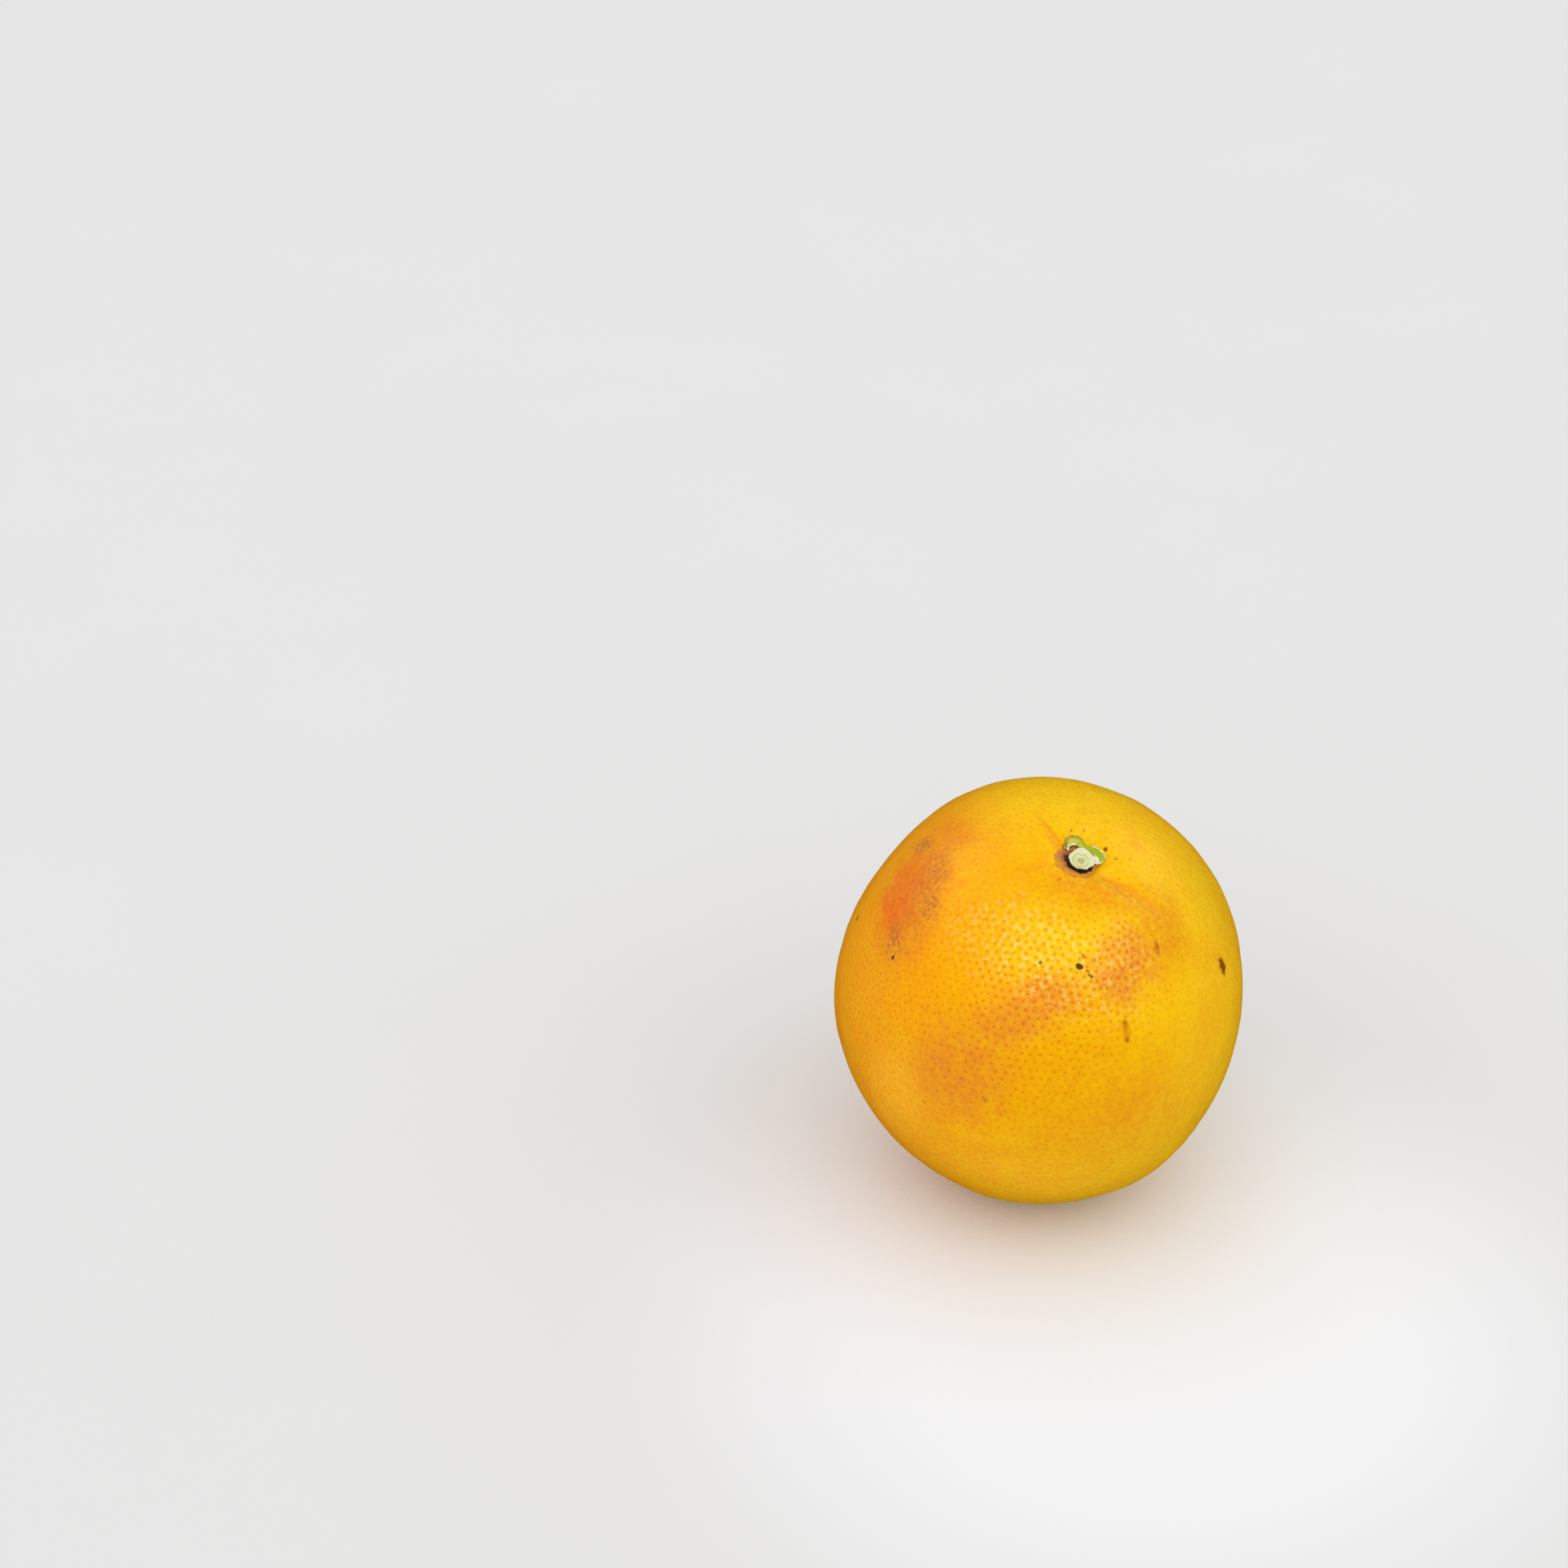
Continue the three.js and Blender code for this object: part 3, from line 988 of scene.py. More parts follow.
@dataclass(frozen=True)
class CorkFinish(Finish):
    """Pinkish brown cork round the stem, and painted shadow, nearly black, in the hollow under the stem's
    rim.

    Attributes:
        stops: Colours from the hollow to the scar's edge; the darkest, in the hollow, are painted shadow.
        grey: Rays over it.
        stain: Fine stains, which multiply what is below.
    """

    name: str = "calyx scar"
    stops: Stops = (
        # Painted shadow in the hollow, from nearly black to dark brown.
        (0.0, colour("34241A")),
        (0.12, colour("4A3020")),
        (0.24, colour("7E4A2C")),
        (0.34, colour("B06A44")),
        (0.55, colour("C4783E")),
        (0.75, colour("D08630")),
        (0.95, colour("E09A10")),
    )
    grey: Colour = colour("9A7060")
    stain: Colour = colour("9A7048")

    def made(self) -> bpy.types.Material:
        """Builds the material."""
        material, nodes, shader = self.start(Specular_IOR_Level=0.15)
        stem = nodes.group(Pattern.STEM_PLACE)
        place, spoke = stem.outputs["Place"], stem.outputs["Spoke"]
        grain, fine = nodes.grain(place, 0.7, 1.5), nodes.grain(place, 0.22, 1.6)
        share = nodes.plus(nodes.attribute("out_share"), nodes.swing(grain, 0.5))
        rays = nodes.fade(nodes.noise(spoke, 9.0, 2.0), 0.5, 0.68)
        tint = nodes.blend(nodes.times(rays, 0.35), nodes.ramp(share, self.stops), self.grey)
        tint = nodes.blend(nodes.times(fine, 0.35), tint, self.stain, "MULTIPLY")
        rough = nodes.fade(fine, 0.2, 0.8, 0.65, 0.9)
        normal = nodes.bump(fine, 0.08 * MM, nodes.bump(grain, 0.15 * MM))
        nodes.feed(shader, {"Base Color": tint, "Roughness": rough, "Normal": normal})
        return material


@dataclass(frozen=True)
class FloorFinish(Finish):
    """Plain matt paper, with a painted pool of brighter, cooler light near the fruit.

    Attributes:
        tint: The paper.
        shade: Faint clouds in it.
        near: A painted pool of light, brighter and cooler than the paper.
        painted_light_place: The middle of that part, in metres.
        painted_light_reach: Where it starts and where it is full, in metres from its middle.
    """

    name: str = "floor paper"
    tint: Colour = colour("DADADA")
    shade: Colour = colour("D7D7D7")
    near: Colour = colour("E6E8EB")
    painted_light_place: tuple[float, float, float] = (0.02, -0.06, 0.0)
    painted_light_reach: tuple[float, float] = (0.14, 0.05)

    def made(self) -> bpy.types.Material:
        """Builds the material."""
        material, nodes, shader = self.start(Specular_IOR_Level=0.1, Roughness=0.9)
        place = nodes.add("ShaderNodeTexCoord").outputs["Object"]
        tint = nodes.blend(nodes.noise(place, 9.0, 4.0), self.tint, self.shade)
        # A painted pool of light round the fruit.
        painted_light = nodes.fade(nodes.vector("DISTANCE", place, self.painted_light_place), *self.painted_light_reach)
        normal = nodes.bump(nodes.noise(place, 700.0, 2.0), 0.05 * MM)
        nodes.feed(shader, {"Base Color": nodes.blend(painted_light, tint, self.near), "Normal": normal})
        return material


class SmoothSkin:
    """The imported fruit's skin made smooth, which the rind and the scar lie on."""

    def __init__(self, stem: StemFrame, rounds: int = 2) -> None:
        """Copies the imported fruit, merges its loose triangles and smooths it.

        Args:
            stem: The fruit's own frame.
            rounds: How many times it is subdivided.
        """
        self.stem = stem
        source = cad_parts["fruit"]
        self.piece = bpy.data.objects.new("smooth_skin", source.data.copy())
        bpy.context.scene.collection.objects.link(self.piece)
        Bench.edit(
            self.piece,
            partial(bpy.ops.mesh.remove_doubles, threshold=0.001 * MM),
            partial(bpy.ops.mesh.tris_convert_to_quads, face_threshold=0.6, shape_threshold=0.9),
        )
        Bench.modify(self.piece, "SUBSURF", levels=rounds, render_levels=rounds)
        self.tree = BVHTree.FromObject(self.piece, bpy.context.evaluated_depsgraph_get())

    def height(self, across: float, up: float) -> float:
        """Height of the skin in the fruit's own frame.

        Args:
            across: Place along that frame's X.
            up: Place along its Y.

        Returns:
            The height along the stem's axis.
        """
        start = self.stem.place @ Vector((across, up, 0.1))
        hit = self.tree.ray_cast(start, self.stem.place.to_3x3() @ Vector((0, 0, -1)))[0]
        return (self.stem.place.inverted() @ hit).z

    def heights(self, places: np.ndarray) -> np.ndarray:
        """Height of the skin at each row's X and Y, in the fruit's own frame."""
        return np.array([self.height(x, y) for x, y in places[:, :2]])

    def clear(self) -> None:
        """Removes the smooth skin once nothing needs it."""
        bpy.data.objects.remove(self.piece)


@dataclass
class Rind:
    """The rind, one mesh whose faces are gathered into oil glands.

    Attributes:
        stem: The fruit's own frame.
        skin: The smooth skin that it lies on.
        gland_gap: Least distance between two glands.
        gland_seed: Which scatter of glands.
        rim: Width of the strip that each gland's face has along its edge.
        pore: Radius of the pit over a gland.
        pore_spread: How much that varies, as a share.
        pit: Depth of the pit.
        pit_spread: How much that varies, as a share.
        lumps: Size and height of the lumps all over.
        shoulder_lumps: The same for those round the stem.
        shoulder: Distances from the stem's axis where those start and are full.
        smooth: Distances from that axis where the pits are faint and full.
        furrows: Grooves by the stem, each as deep in millimetres as its strength says.
        wrinkles: How many go round the stem, and their turn in radians, for each set.
        wrinkle: Height of the wrinkles.
        seat: How far the skin sinks under the scar.
        ring_start: First vertex of the pits' rings, once they are cut.
        middle_start: First vertex of the pits' middles, once they are cut.
    """

    stem: StemFrame
    skin: SmoothSkin
    gland_gap: float = 1.58 * MM
    gland_seed: int = 7
    rim: float = 0.12 * MM
    pore: float = 0.42 * MM
    pore_spread: float = 0.22
    pit: float = 0.065 * MM
    pit_spread: float = 0.5
    lumps: Table = ((14 * MM, 0.45 * MM), (5 * MM, 0.14 * MM))
    shoulder_lumps: tuple[float, float] = (3.2 * MM, 0.42 * MM)
    shoulder: tuple[float, float] = (26 * MM, 12 * MM)
    smooth: tuple[float, float] = (8 * MM, 28 * MM)
    furrows: tuple[Oval, ...] = (
        Oval(-25.9, 13.9, 10, 2.4, 2.1, 0.8),
        Oval(130.7, 11.5, 5, 0.9, 163.4, 0.25),
        Oval(-168.3, 13.9, 7, 2.4, 7.4, 0.25),
        Oval(70.0, 12.0, 6, 2.0, 0.0, 0.2),
        Oval(-100.0, 13.0, 5, 2.0, 10.0, 0.15),
    )
    wrinkles: Table = ((7, 0.3), (12, 1.9), (19, 4.0), (27, 2.2))
    wrinkle: float = 0.045 * MM
    seat: float = 1.3 * MM
    ring_start: int = 0
    middle_start: int = 0

    def glands(self) -> bpy.types.Object:
        """Makes a closed ball with one many-sided face for each gland.

        Returns:
            The ball, about the fruit's middle.
        """
        low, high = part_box("fruit")
        ball = Bench.started(
            bpy.ops.mesh.primitive_ico_sphere_add,
            "rind",
            subdivisions=6,
            radius=(high.z - low.z) / 2,
            location=self.stem.middle,
        )
        Bench.settle(ball)
        tree = bpy.data.node_groups.new("Gland scatter", "GeometryNodeTree")
        for way in ("INPUT", "OUTPUT"):
            tree.interface.new_socket("Geometry", in_out=way, socket_type="NodeSocketGeometry")
        nodes = Nodes(tree)
        inputs = {
            "Mesh": nodes.add("NodeGroupInput").outputs[0],
            "Distance Min": self.gland_gap,
            # Dense enough for the least distance alone to say how many glands there are.
            "Density Max": 7.5 / self.gland_gap**2,
            "Seed": self.gland_seed,
        }
        kind = "GeometryNodeDistributePointsOnFaces"
        points = nodes.add(kind, inputs, distribute_method="POISSON").outputs["Points"]
        hull = nodes.add("GeometryNodeConvexHull", {0: points}).outputs[0]
        cells = nodes.add("GeometryNodeDualMesh", {0: hull}).outputs[0]
        nodes.add("NodeGroupOutput", {0: cells})
        Bench.modify(ball, "NODES", node_group=tree)
        return ball

    def directions(self, rind: bpy.types.Object) -> tuple[np.ndarray, np.ndarray]:
        """Each vertex's place and unit direction in the fruit's own frame."""
        own = self.stem.own(Bench.corners(rind))
        return own, own / np.linalg.norm(own, axis=1)[:, None]

    def shape(self, rind: bpy.types.Object) -> None:
        """Cuts each gland's face into a ring and a pit, and lays all of it on the skin."""
        cells = rind.data.attributes.new("cell", "INT", "FACE")
        cells.data.foreach_set("value", np.arange(len(rind.data.polygons), dtype=np.int32))
        self.ring_start = len(rind.data.vertices)
        Bench.edit(rind, partial(bpy.ops.mesh.inset, thickness=self.rim, use_individual=True))
        self.middle_start = len(rind.data.vertices)
        Bench.edit(rind, bpy.ops.mesh.poke, keep=True)
        project = {"wrap_method": "PROJECT", "use_negative_direction": True}
        Bench.modify(rind, "SHRINKWRAP", target=self.skin.piece, **project)
        for size, height in self.lumps:
            Bench.lumps(rind, size, height)
        own, _ = self.directions(rind)
        shoulder = rind.vertex_groups.new(name="shoulder")
        share = fade(polar(own)[1], *self.shoulder) * (own[:, 2] > 0)
        for vertex in np.nonzero(share > 0.01)[0]:
            shoulder.add([int(vertex)], float(share[vertex]), "REPLACE")
        Bench.lumps(rind, *self.shoulder_lumps, "shoulder")
        rind.vertex_groups.clear()

    def owners(self, rind: bpy.types.Object) -> tuple[np.ndarray, np.ndarray]:
        """Finds which gland everything belongs to.

        Args:
            rind: The rind, with each face's gland in the attribute "cell".

        Returns:
            The gland of each face, and of each vertex of a ring or a middle.
        """
        mesh = rind.data
        cell, sides = np.empty((2, len(mesh.polygons)), np.int32)
        mesh.attributes["cell"].data.foreach_get("value", cell)
        mesh.polygons.foreach_get("loop_total", sides)
        corners = np.empty(len(mesh.loops), np.int32)
        mesh.loops.foreach_get("vertex_index", corners)
        inner = corners >= self.ring_start
        owner = np.zeros(len(mesh.vertices), np.int32)
        owner[corners[inner]] = np.repeat(cell, sides)[inner]
        mesh.attributes.remove(mesh.attributes["cell"])
        return cell, owner

    def depths(self, own: np.ndarray, directions: np.ndarray) -> np.ndarray:
        """How deep the pits are at each place, as a share: faint by the stem.

        Args:
            own: Places in the fruit's own frame, one row each.
            directions: Unit vectors to them.

        Returns:
            A share for each row.
        """
        pored = np.max([oval.cover(directions, 0.7) for oval in PORED], axis=0)
        smooth = np.where(own[:, 2] > 0, fade(polar(own)[1], *self.smooth), 1.0)
        return 0.1 + 0.9 * smooth * (0.5 + 0.5 * pored)

    def pits(self, rind: bpy.types.Object) -> None:
        """Rounds the rings and presses the pits in, and notes each gland for the finish."""
        cell, owner = self.owners(rind)
        middles = np.arange(self.middle_start, len(owner))
        middle_of = np.empty(cell.max() + 1, np.int32)
        middle_of[owner[middles]] = middles
        random = np.random.default_rng(self.gland_seed)
        radius = self.pore * (1 + self.pore_spread * random.uniform(-1, 1, len(middle_of)))
        depth = self.pit * (1 + self.pit_spread * random.uniform(-1, 1, len(middle_of)))
        places, normals = Bench.corners(rind), Bench.normals(rind)
        own, directions = self.directions(rind)
        depth *= self.depths(own, directions)[middle_of]

        ring = np.arange(self.ring_start, self.middle_start)
        hub = places[middle_of[owner[ring]]]
        spoke = places[ring] - hub
        spoke *= (radius[owner[ring]] / np.linalg.norm(spoke, axis=1))[:, None]
        rise = normals * self.relief(own, directions)[:, None]
        gland = places[middle_of] + rise[middle_of]
        places[ring] = hub + spoke - normals[ring] * (0.12 * depth[owner[ring]])[:, None]
        places[middles] -= normals[middles] * depth[owner[middles]][:, None]
        places += rise
        places[:, 2] = np.maximum(places[:, 2], 0.0)
        Bench.move(rind, places)
        Bench.note(rind, "gland", gland[cell], "FACE")
        Bench.note(rind, "pore_radius", radius[cell], "FACE")

    def relief(self, own: np.ndarray, directions: np.ndarray) -> np.ndarray:
        """How far the skin stands out, or in below 0, from furrows, wrinkles and the rest.

        Args:
            own: Places in the fruit's own frame, one row each.
            directions: Unit vectors to them.

        Returns:
            A height for each row.
        """
        top = own[:, 2] > 0
        around, out = polar(own)
        rise = -sum(furrow.cover(directions) for furrow in self.furrows) * MM
        wrinkles = sum(np.cos(count * around + turn) for count, turn in self.wrinkles)
        ring = fade(out, 4 * MM, 6.5 * MM) * fade(out, 15 * MM, 7 * MM) * top
        rise += self.wrinkle * wrinkles * ring
        # The blossom end: a small dent with a low ring round it, far from anything on top.
        below = np.where(top, np.inf, out / MM)
        ring = fade(below, 7.5, 4.5) * fade(below, 2.6, 4.2)
        rise -= (0.5 * fade(below, 3.6, 0.8) - 0.3 * ring) * MM
        turn, away = polar(own - np.array(BUTTON))
        sink = fade(away - scar_reach(turn) * MM, 0.35 * MM, -0.75 * MM) * top
        return rise - self.seat * sink

    def build(self) -> bpy.types.Object:
        """Builds and dresses the rind.

        Returns:
            The finished piece.
        """
        rind = self.glands()
        self.shape(rind)
        self.pits(rind)
        Bench.settle(rind)
        rind.data.materials.append(RindFinish().made())
        return rind


@dataclass
class CutStem:
    """The short cut stem.

    Attributes:
        stem: The fruit's own frame.
        radius: Of the cut face.
        neck: Radius at the bottom.
        height: From the face to the bottom.
        below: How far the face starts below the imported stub's.
        sides: How many it has before it is made round.
        steps: How far each ring of the face goes in and then up, in millimetres.
        waves: How many bulges go round, where in degrees one of them is, and how far they
            stand out, as a share of the radius.
        spurs: Where in degrees a spur or hollow is, its width, and its share of spur.
        spur: How far a whole spur stands out, as a share of the radius.
        lumps: Size and height of its lumps.
    """

    stem: StemFrame
    radius: float = 3.2 * MM
    neck: float = 2.3 * MM
    height: float = 2.2 * MM
    below: float = 0.12 * MM
    sides: int = 48
    steps: Table = (
        (0.22, 0.1), (0.25, 0.04), (0.5, -0.05), (0.3, -0.06), (0.14, -0.07), (0.16, 0.08),
        (0.4, -0.03), (0.18, 0.05), (0.3, -0.1), (0.4, 0.0),
    )
    waves: tuple[tuple[float, float, float], ...] = (
        (2, 80, 0.03), (3, 200, 0.02), (5, 20, 0.03), (9, 130, 0.014), (16, 40, 0.006),
    )
    spurs: tuple[tuple[float, float, float], ...] = ((-5, 24, 1.0), (-48, 14, -0.8), (-100, 45, -0.5))
    spur: float = 0.14
    lumps: Table = ((0.9 * MM, 0.22 * MM), (0.35 * MM, 0.1 * MM))

    def stub(self) -> bpy.types.Object:
        """Makes the stub, round and with a stepped face.

        Returns:
            The stub, in the fruit's own frame.
        """
        stub = Bench.started(
            bpy.ops.mesh.primitive_cylinder_add,
            "stem",
            vertices=self.sides,
            radius=self.radius,
            depth=self.height,
            location=(0, 0, self.stem.face - self.height / 2 - self.below),
        )
        Bench.settle(stub)
        for face in stub.data.polygons:
            face.select = face.normal.z > 0.9
        cuts = []
        for inward, up in self.steps:
            cuts.append(partial(bpy.ops.mesh.inset, thickness=inward * MM))
            cuts.append(partial(bpy.ops.transform.translate, value=(0, 0, up * MM)))
        Bench.edit(stub, *cuts, bpy.ops.mesh.poke, keep=True)
        for face in stub.data.polygons:
            face.select = face.normal.z < -0.9
        cuts = [partial(bpy.ops.mesh.inset, thickness=inward * MM) for inward in (0.6, 1.2)]
        Bench.edit(stub, *cuts, bpy.ops.mesh.poke, keep=True)
        Bench.modify(stub, "SUBSURF", levels=2, render_levels=2)
        return stub

    def build(self) -> bpy.types.Object:
        """Builds and dresses the stem.

        Returns:
            The finished piece.
        """
        stub = self.stub()
        places = Bench.corners(stub)
        around, out = polar(places)
        bulges = sum(share * np.cos(n * (around - math.radians(turn))) for n, turn, share in self.waves)
        spurs = sum(
            share * np.exp(-(((np.degrees(around) - turn) / width) ** 2))
            for turn, width, share in self.spurs
        )
        widen = 1 + bulges * fade(out, 0, self.radius)
        widen += self.spur * spurs * fade(out, self.radius / 2, self.radius)
        drop = np.clip((self.stem.face - places[:, 2]) / self.height, 0, 1)
        widen *= 1 - (1 - self.neck / self.radius) * fade(drop, 0.1, 0.75)
        places[:, :2] *= widen[:, None]
        # The pith lies to one side.
        places[:, 0] -= 0.5 * MM * fade(out, 2.4 * MM, 0.8 * MM)
        Bench.move(stub, places)
        for size, height in self.lumps:
            Bench.lumps(stub, size, height)
        Bench.settle(stub, self.stem.button())
        stub.data.materials.append(CutFinish(self.stem.face).made())
        return stub


@dataclass
class Calyx:
    """What is left of the calyx: a collar on one side of the stem with two lobes.

    The tables go by angles round the stem's axis, in degrees.

    Attributes:
        stem: The fruit's own frame.
        skin: The smooth skin that it stands on.
        reach: Distance from the axis to the outer edge, in millimetres.
        inner: Distance to the inner edge.
        outer_green: How green the outer edge is, from torn at 0.
        inner_green: The same for the inner edge.
        lush: How green it is, from yellow at 0.
        torn_width: Width of a torn edge, in millimetres.
        thickness: Of the collar.
        lumps: Size and height of its lumps.
    """

    stem: StemFrame
    skin: SmoothSkin
    reach: Table = (
        (-14, 3.9), (-8, 4.2), (-3, 4.6), (7, 5.4), (18, 6.2), (28, 6.25), (38, 6.0), (48, 5.8),
        (58, 5.3), (66, 4.5), (72, 4.4), (80, 5.1), (86, 6.2), (92, 7.0), (102, 7.5), (112, 7.55),
        (118, 7.35), (126, 6.4), (132, 5.7), (138, 5.0), (143, 4.6),
    )
    inner: Table = (
        (-14, 3.3), (80, 3.2), (98, 3.6), (106, 4.6), (116, 4.8), (130, 4.6), (138, 4.2), (143, 4.0),
    )
    outer_green: Table = (
        (-14, 0.0), (0, 0.0), (12, 0.3), (22, 0.0), (58, 0.0), (66, 0.6), (95, 1.0), (143, 0.6),
    )
    inner_green: Table = ((-14, -0.6), (10, -0.6), (28, 0.4), (40, 1.0), (96, 1.0), (104, 0.0))
    lush: Table = (
        (-14, 0.7), (10, 1.0), (30, 1.0), (50, 0.8), (70, 0.75), (90, 0.4), (112, 0.3), (143, 0.0),
    )
    torn_width: float = 0.9
    thickness: float = 0.55 * MM
    lumps: Table = ((1.2 * MM, 0.3 * MM), (0.4 * MM, 0.12 * MM))

    def build(self) -> bpy.types.Object:
        """Builds and dresses the calyx.

        Returns:
            The finished piece.
        """
        grid = {"x_subdivisions": 72, "y_subdivisions": 16, "size": 1.0}
        blade = Bench.started(bpy.ops.mesh.primitive_grid_add, "calyx_collar", **grid)
        flat = Bench.corners(blade)
        first, last = self.reach[0][0], self.reach[-1][0]
        angle = first + (flat[:, 0] + 0.5) * (last - first)
        span = flat[:, 1] + 0.5
        ragged = 0.1 * np.cos(np.radians(angle * 23)) + 0.07 * np.cos(np.radians(angle * 41))
        outer = follow(self.reach, angle) + ragged
        inner = follow(self.inner, angle) + 0.12 * np.cos(np.radians(angle * 17))
        out = inner + (outer - inner) * span
        turn = np.radians(angle)
        places = np.stack([out * np.cos(turn), out * np.sin(turn), np.zeros(len(out))], 1) * MM
        lift = 1.05 - 0.75 * fade(out, 3.3, 6.2) + 0.18 * fade(span, 0.8, 1.0)
        places[:, 2] = self.skin.heights(places) + lift * MM
        Bench.move(blade, places)
        Bench.modify(blade, "SOLIDIFY", thickness=self.thickness, offset=0.0)
        Bench.modify(blade, "SUBSURF", levels=2, render_levels=2)
        for size, height in self.lumps:
            Bench.lumps(blade, size, height)
        self.note(blade)
        Bench.settle(blade, self.stem.button())
        blade.data.materials.append(CalyxFinish().made())
        return blade

    def note(self, blade: bpy.types.Object) -> None:
        """Notes for the finish where each vertex is green, lush, olive at the edge, or turned down and so
        given painted shade.
        """
        around, out = polar(Bench.corners(blade) / MM)
        angle = np.degrees(around)
        inner_gap = (out - follow(self.inner, angle)) / self.torn_width
        outer_gap = (follow(self.reach, angle) - out) / self.torn_width
        from_outer = outer_gap + follow(self.outer_green, angle)
        from_inner = inner_gap + follow(self.inner_green, angle)
        Bench.note(blade, "inside", np.clip(np.minimum(from_outer, from_inner), 0, 1))
        # Painted shade: how far each face turns down.
        Bench.note(blade, "under", np.clip(0.5 - 0.5 * Bench.normals(blade)[:, 2], 0, 1))
        Bench.note(blade, "lush", follow(self.lush, angle))
        Bench.note(blade, "olive_edge", fade(outer_gap, 1.8, 0.1) * fade(angle, 78.0, 90.0))


@dataclass
class CalyxScar:
    """The corky ring where the rest of the calyx has come off, and the hollow inside it.

    Attributes:
        stem: The fruit's own frame.
        skin: The smooth skin that it lies on.
        profile: Height over the skin, in millimetres, from the hollow's edge at 0 to the
            scar's edge at 1 and on below the skin. Below 0 is the hollow.
        hollow: The share of the flat disc that becomes the hollow.
        sides: How many the disc has.
        rings: How many rings it is cut into.
        hub: Radius of the disc's last ring, of 1.
        thickness: Of the cork.
        lumps: Size and height of its lumps.
    """

    stem: StemFrame
    skin: SmoothSkin
    profile: Table = (
        (-2.0, -0.7), (0.0, -0.65), (0.16, -0.5), (0.34, 0.0), (0.5, 0.2), (0.7, 0.14), (0.9, 0.03),
        (1.05, -0.15), (1.4, -0.9),
    )
    hollow: float = 0.5
    sides: int = 120
    rings: int = 17
    hub: float = 0.04
    thickness: float = 0.35 * MM
    lumps: Table = ((0.8 * MM, 0.2 * MM), (0.35 * MM, 0.12 * MM))

    def build(self) -> bpy.types.Object:
        """Builds and dresses the scar.

        Returns:
            The finished piece.
        """
        circle = {"vertices": self.sides, "radius": 1.0, "fill_type": "NGON"}
        disc = Bench.started(bpy.ops.mesh.primitive_circle_add, "calyx_scar", **circle)
        inset = partial(bpy.ops.mesh.inset, thickness=(1.0 - self.hub) / self.rings)
        Bench.edit(disc, *[inset] * self.rings, bpy.ops.mesh.poke)
        places = Bench.corners(disc)
        around, span = polar(places)
        outside = span > self.hollow
        # 0 at the hollow's edge, and the profile's last place at the disc's edge.
        out = self.profile[-1][0] * (span - self.hollow) / (1.0 - self.hollow)
        out = np.where(outside, out, 1.4 * out)
        ringed = SCAR_INNER + (scar_reach(around) - SCAR_INNER) * out
        radius = np.where(outside, ringed, SCAR_INNER * span / self.hollow)
        uneven = 0.12 * np.cos(3 * around + 0.6) + 0.08 * np.cos(7 * around + 2.0)
        uneven += 0.05 * np.cos(13 * around)
        share = out + uneven * fade(out, 0.0, 0.3) * fade(out, 1.3, 1.0)
        cracks = np.abs(np.cos(11 * around + 0.7) + 0.6 * np.cos(17 * around + 2.1))
        rise = follow(self.profile, share) - 0.14 * fade(cracks, 0.45, 0.0) * fade(out, 0.15, 0.4)
        places[:, 0] = radius * np.cos(around) * MM
        places[:, 1] = radius * np.sin(around) * MM
        places[:, 2] = self.skin.heights(places) + rise * MM
        Bench.move(disc, places)
        Bench.note(disc, "out_share", np.clip(share, 0, 1))
        Bench.modify(disc, "SOLIDIFY", thickness=self.thickness, offset=-1.0)
        Bench.modify(disc, "SUBSURF", levels=1, render_levels=1)
        for size, height in self.lumps:
            Bench.lumps(disc, size, height)
        Bench.settle(disc, self.stem.button())
        disc.data.materials.append(CorkFinish().made())
        return disc


@dataclass(frozen=True)
class Softbox:
    """A softbox that gives the rind its gloss. The even light from all round does the rest.

    Attributes:
        heading: Degrees round from the camera's side, towards the right.
        up: Degrees up from the floor.
        away: Its distance from the fruit.
        size: Its width and height.
        power: In watts.
    """

    heading: float
    up: float
    away: float
    size: tuple[float, float]
    power: float

    def hang(self) -> None:
        """Hangs it, facing the fruit."""
        lamp = bpy.data.lights.new("softbox", "AREA")
        lamp.shape = "RECTANGLE"
        lamp.size, lamp.size_y = self.size
        lamp.energy = self.power
        box = bpy.data.objects.new("softbox", lamp)
        bpy.context.scene.collection.objects.link(box)
        low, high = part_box("fruit")
        heading, up = math.radians(self.heading), math.radians(self.up)
        towards = Vector((math.sin(heading) * math.cos(up), -math.cos(heading) * math.cos(up), math.sin(up)))
        box.location = (low + high) / 2 + towards * self.away
        box.rotation_euler = towards.to_track_quat("Z", "Y").to_euler()
        box.visible_diffuse = False


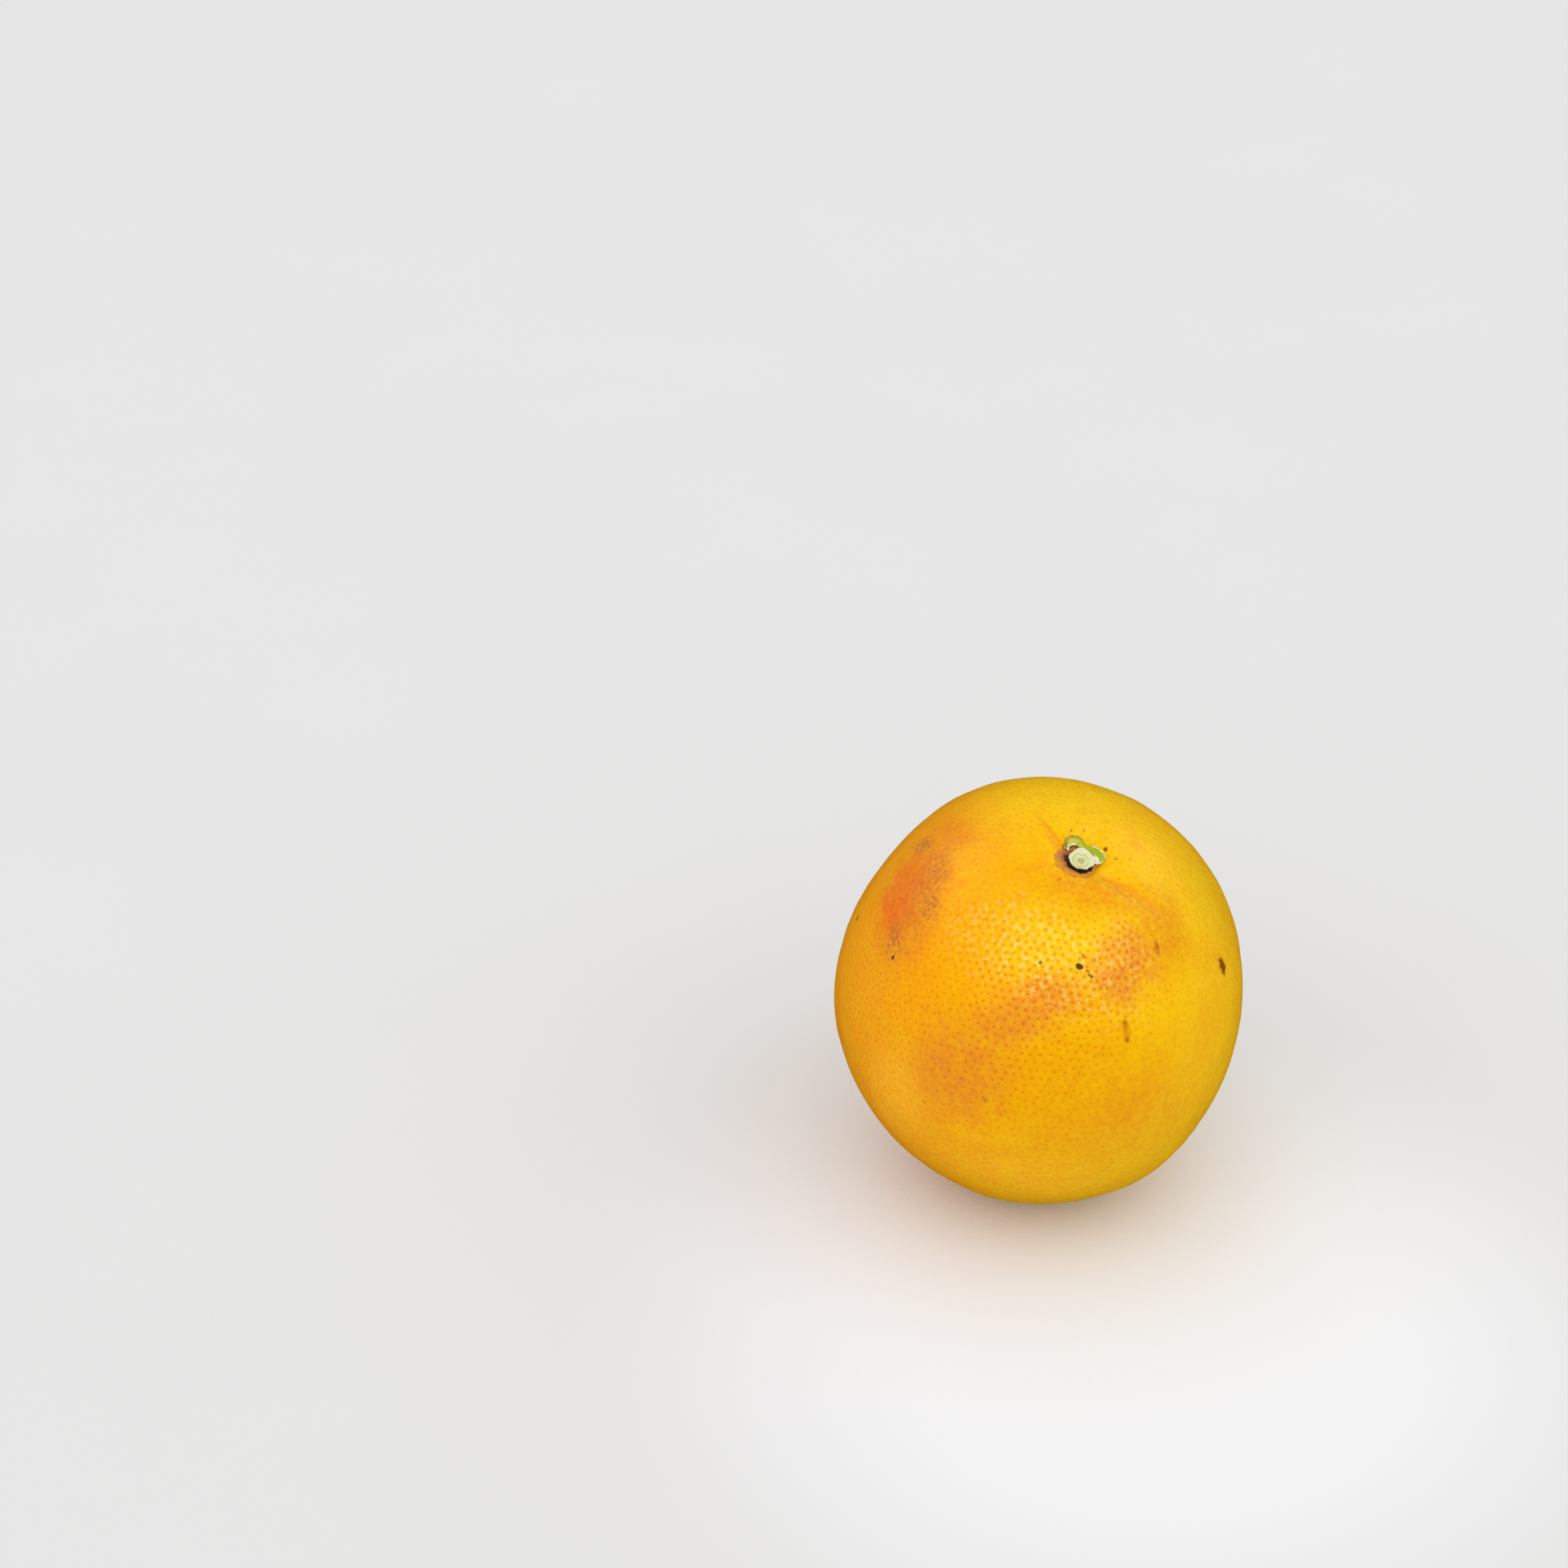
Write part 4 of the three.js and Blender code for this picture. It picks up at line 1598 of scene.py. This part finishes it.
@dataclass
class Studio:
    """The floor, the soft light and the camera.

    Attributes:
        floor_size: Side of the floor.
        sky_front: Strength of the even light from the camera's side.
        sky_behind: Its strength from behind the fruit.
        softboxes: What the rind reflects.
        lens: Focal length, in millimetres.
        film: Width of the film, in millimetres.
        raise_angle: Degrees that the camera looks down.
        away: Distance of the fruit's middle from the camera, along its axis.
        across: Where in the picture the fruit's middle falls, as a share from the left.
        down: The same from the top.
    """

    floor_size: float = 9.0
    sky_front: float = 1.46
    sky_behind: float = 0.93
    softboxes: tuple[Softbox, ...] = (
        Softbox(6.0, 55.0, 1.3, (1.7, 0.7), 27.0),
        Softbox(120.0, 45.0, 1.3, (0.8, 0.8), 4.0),
        Softbox(-120.0, 45.0, 1.3, (0.8, 0.8), 4.0),
    )
    lens: float = 85.0
    film: float = 36.0
    raise_angle: float = 30.0
    away: float = 0.912
    across: float = 0.6619
    down: float = 0.6297

    def floor(self) -> bpy.types.Object:
        """Builds and dresses the floor, and hides it from glossy rays."""
        floor = Bench.started(bpy.ops.mesh.primitive_plane_add, "floor", size=self.floor_size)
        Bench.edit(floor, partial(bpy.ops.mesh.subdivide, number_cuts=3))
        Bench.settle(floor)
        floor.data.materials.append(FloorFinish().made())
        floor.visible_glossy = False
        return floor

    def light(self) -> None:
        """Lights the fruit evenly from all round, a little more from the front."""
        world = bpy.data.worlds.new("studio")
        bpy.context.scene.world = world
        world.use_nodes = True
        nodes = Nodes(world.node_tree)
        towards = nodes.add("ShaderNodeTexCoord").outputs["Generated"]
        back = nodes.add("ShaderNodeSeparateXYZ", {0: towards}).outputs[1]
        strength = nodes.fade(back, 0.6, -0.85, self.sky_behind, self.sky_front)
        background = world.node_tree.nodes["Background"]
        nodes.feed(background, {"Color": (1.0, 1.0, 1.0, 1.0), "Strength": strength})
        world.cycles_visibility.glossy = False
        for softbox in self.softboxes:
            softbox.hang()

    def camera(self) -> None:
        """Places the camera so that the fruit's middle falls at its share of the picture."""
        data = bpy.data.cameras.new("camera")
        data.lens = self.lens
        data.sensor_width = self.film
        camera = bpy.data.objects.new("camera", data)
        bpy.context.scene.collection.objects.link(camera)
        bpy.context.scene.camera = camera
        tilt = math.radians(90 - self.raise_angle)
        turn = Matrix.Rotation(tilt, 4, "X")
        low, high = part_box("fruit")
        width = self.film / self.lens * self.away
        offset = Vector(((self.across - 0.5) * width, (0.5 - self.down) * width, -self.away))
        camera.location = (low + high) / 2 - turn.to_3x3() @ offset
        camera.rotation_euler = (tilt, 0.0, 0.0)
        bpy.context.scene.view_settings.view_transform = "Standard"


def belong(piece: bpy.types.Object, slot: Slot, node: str = "") -> None:
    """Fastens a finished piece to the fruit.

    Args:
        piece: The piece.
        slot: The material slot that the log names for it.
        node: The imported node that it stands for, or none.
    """
    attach(piece, "root")
    if node:
        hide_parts(node)
    faces = sum(len(face.vertices) - 2 for face in piece.data.polygons)
    log.info("%s: %d triangles, rides root, slot %s", piece.name, faces, slot.value)


def main() -> None:
    """Builds every piece in order, then the studio."""
    logging.basicConfig(level=logging.INFO, format="%(name)s: %(message)s")
    stem = StemFrame.found()
    Patterns(stem)
    skin = SmoothSkin(stem)
    belong(Rind(stem, skin).build(), Slot.RIND, "fruit")
    belong(CalyxScar(stem, skin).build(), Slot.STEM)
    belong(CutStem(stem).build(), Slot.STEM, "stem_stub")
    belong(Calyx(stem, skin).build(), Slot.CALYX, "calyx")
    skin.clear()
    studio = Studio()
    studio.floor()
    studio.light()
    studio.camera()


if __name__ == "__main__":
    main()
